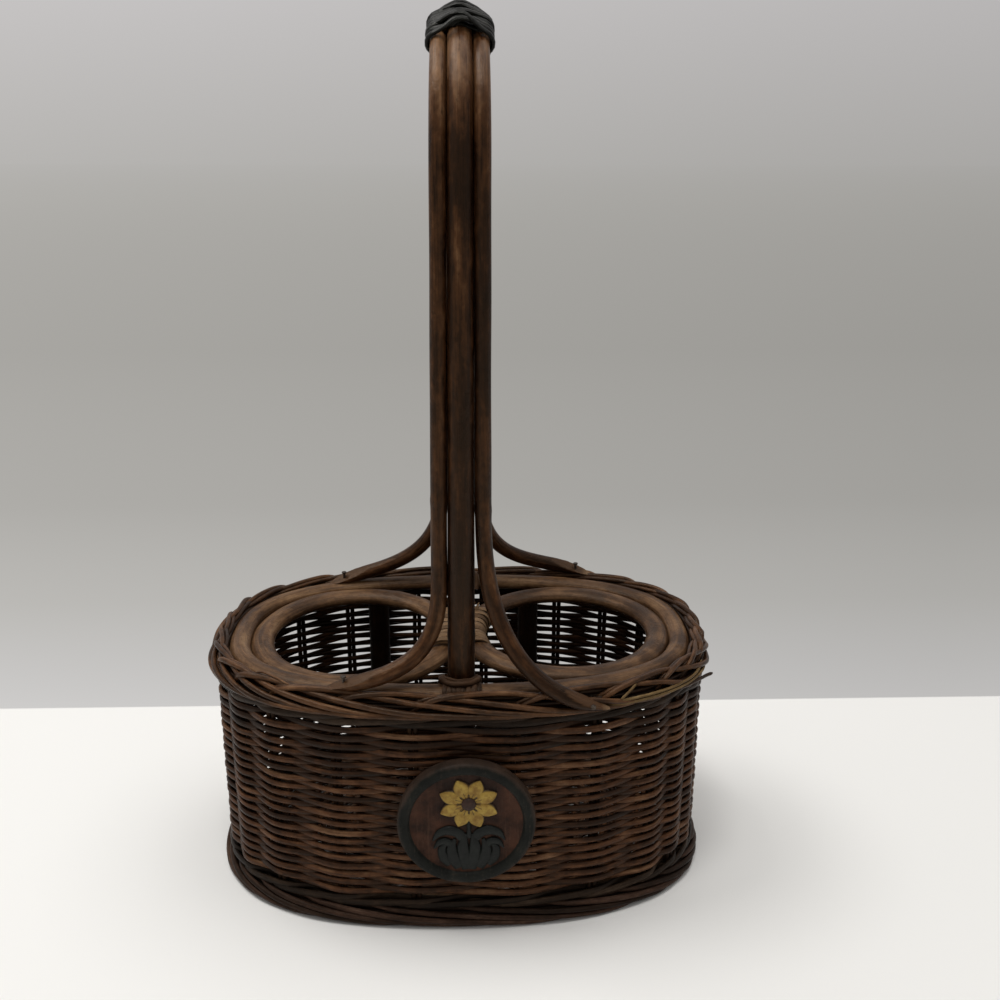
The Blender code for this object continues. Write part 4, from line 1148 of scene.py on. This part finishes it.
def build_stage():
    """White table, a grey room behind it that the camera sees at a set level, and a plain pale world."""
    size = 8.0
    table_edge = 0.1535, 0.1550
    mesh = bpy.data.meshes.new("floor")
    corners = [(-size, -size, 0), (size, -size, 0), (size, size, 0), (-size, size, 0)]
    mesh.from_pydata(corners, [], [(0, 1, 2, 3)])
    floor = placed("floor", mesh)
    n = material_nodes("floor_paper")
    place = n.place()
    split = n.node("SeparateXYZ", {"Vector": place})
    depth = split.outputs["Y"]
    n.finish((0.85, 0.845, 0.83, 1.0), 0.75, n.noise(place, 400.0, 2.0, 0.55), 0.02 * MM, 0.3)
    # Painted light: the room beyond the table glows at set greys, lighter near the table and far off, darker
    # in the middle distance, and lighter to the left than to the right, in place of lit walls
    grey = n.ramp(n.grey(depth, 0.15, size), (0.0, (0.575, 0.565, 0.555)), (0.006, (0.54, 0.53, 0.52)),
                  (0.023, (0.465, 0.455, 0.435)), (0.056, (0.395, 0.385, 0.365)),
                  (0.158, (0.365, 0.355, 0.335)), (0.58, (0.405, 0.395, 0.375)), (1.0, (0.435, 0.425, 0.41)))
    across = n.math("DIVIDE", split.outputs["X"], n.math("ADD", depth, 0.6))
    grey = n.dimmed(grey, n.grey(across, -0.45, 0.45, 1.08, 0.90))
    room = n.node("Emission", {"Color": grey, "Strength": 1.0}).outputs[0]
    beyond = n.math("MULTIPLY", n.grey(depth, *table_edge), n.seen())
    surface = n.either(beyond, n.tree.nodes["Principled BSDF"].outputs[0], room)
    n.put(surface, n.tree.nodes["Material Output"].inputs["Surface"])
    mesh.materials.append(n.owner)

    world = bpy.data.worlds.new("studio")
    bpy.context.scene.world = world
    n = Nodes(world)
    n.tree.nodes.clear()
    split = n.node("SeparateXYZ", {"Vector": n.place("Generated")})
    across, height = split.outputs["X"], split.outputs["Z"]
    sky = n.grey(height, 0.0, 1.0, 0.13, 0.70)
    sky = n.node("Background", {"Color": (1.0, 0.985, 0.965, 1.0), "Strength": sky})
    # Painted light: the background the camera sees is lighter higher up and to the left, in place of a lit
    # wall
    wall = n.ramp(n.grey(height, -0.05, 0.10), (0.0, (0.435, 0.425, 0.41)), (1.0, (0.545, 0.53, 0.53)))
    wall = n.node("Background", {"Color": wall, "Strength": n.grey(across, -0.42, 0.42, 1.08, 0.90)})
    n.node("OutputWorld", {"Surface": n.either(n.seen(), sky.outputs[0], wall.outputs[0])})


def build_light():
    for name, place, target_z, size, power in (
        ("key", (-0.60, 0.10, 1.35), 0.15, 0.7, 7.8),
        ("top", (0.45, 0.05, 1.45), 0.15, 0.9, 4.0),
        ("fill", (-0.12, -0.34, 1.50), 0.20, 0.3, 3.8),
    ):
        data = bpy.data.lights.new(name, "AREA")
        data.shape = "DISK"
        data.size = size
        data.energy = power
        data.color = (1.0, 0.985, 0.96)
        lamp = placed(name, data)
        lamp.location = place
        aim = Vector((0.0, 0.0, target_z)) - Vector(place)
        lamp.rotation_euler = aim.to_track_quat("-Z", "Y").to_euler()


build_camera()
build_stage()
build_light()
build_base()
build_foot()
build_weave()
build_band("lower_dark_band", "lower_dyed_band", lower_band_z, 2.6 * MM, 20)
build_band("upper_dark_band", "upper_dyed_band", upper_band_z, 3.0 * MM, 24)
build_stakes()
build_border()
build_hoop_and_rings()
build_strap()
build_posts()
build_handle()
build_grip()
for end, outer in (("front", -1), ("back", 1)):
    build_collar(end, outer)
    build_lashing(end, outer < 0)
build_medallion()
dress_nails()

bpy.context.scene.view_settings.view_transform = "Standard"
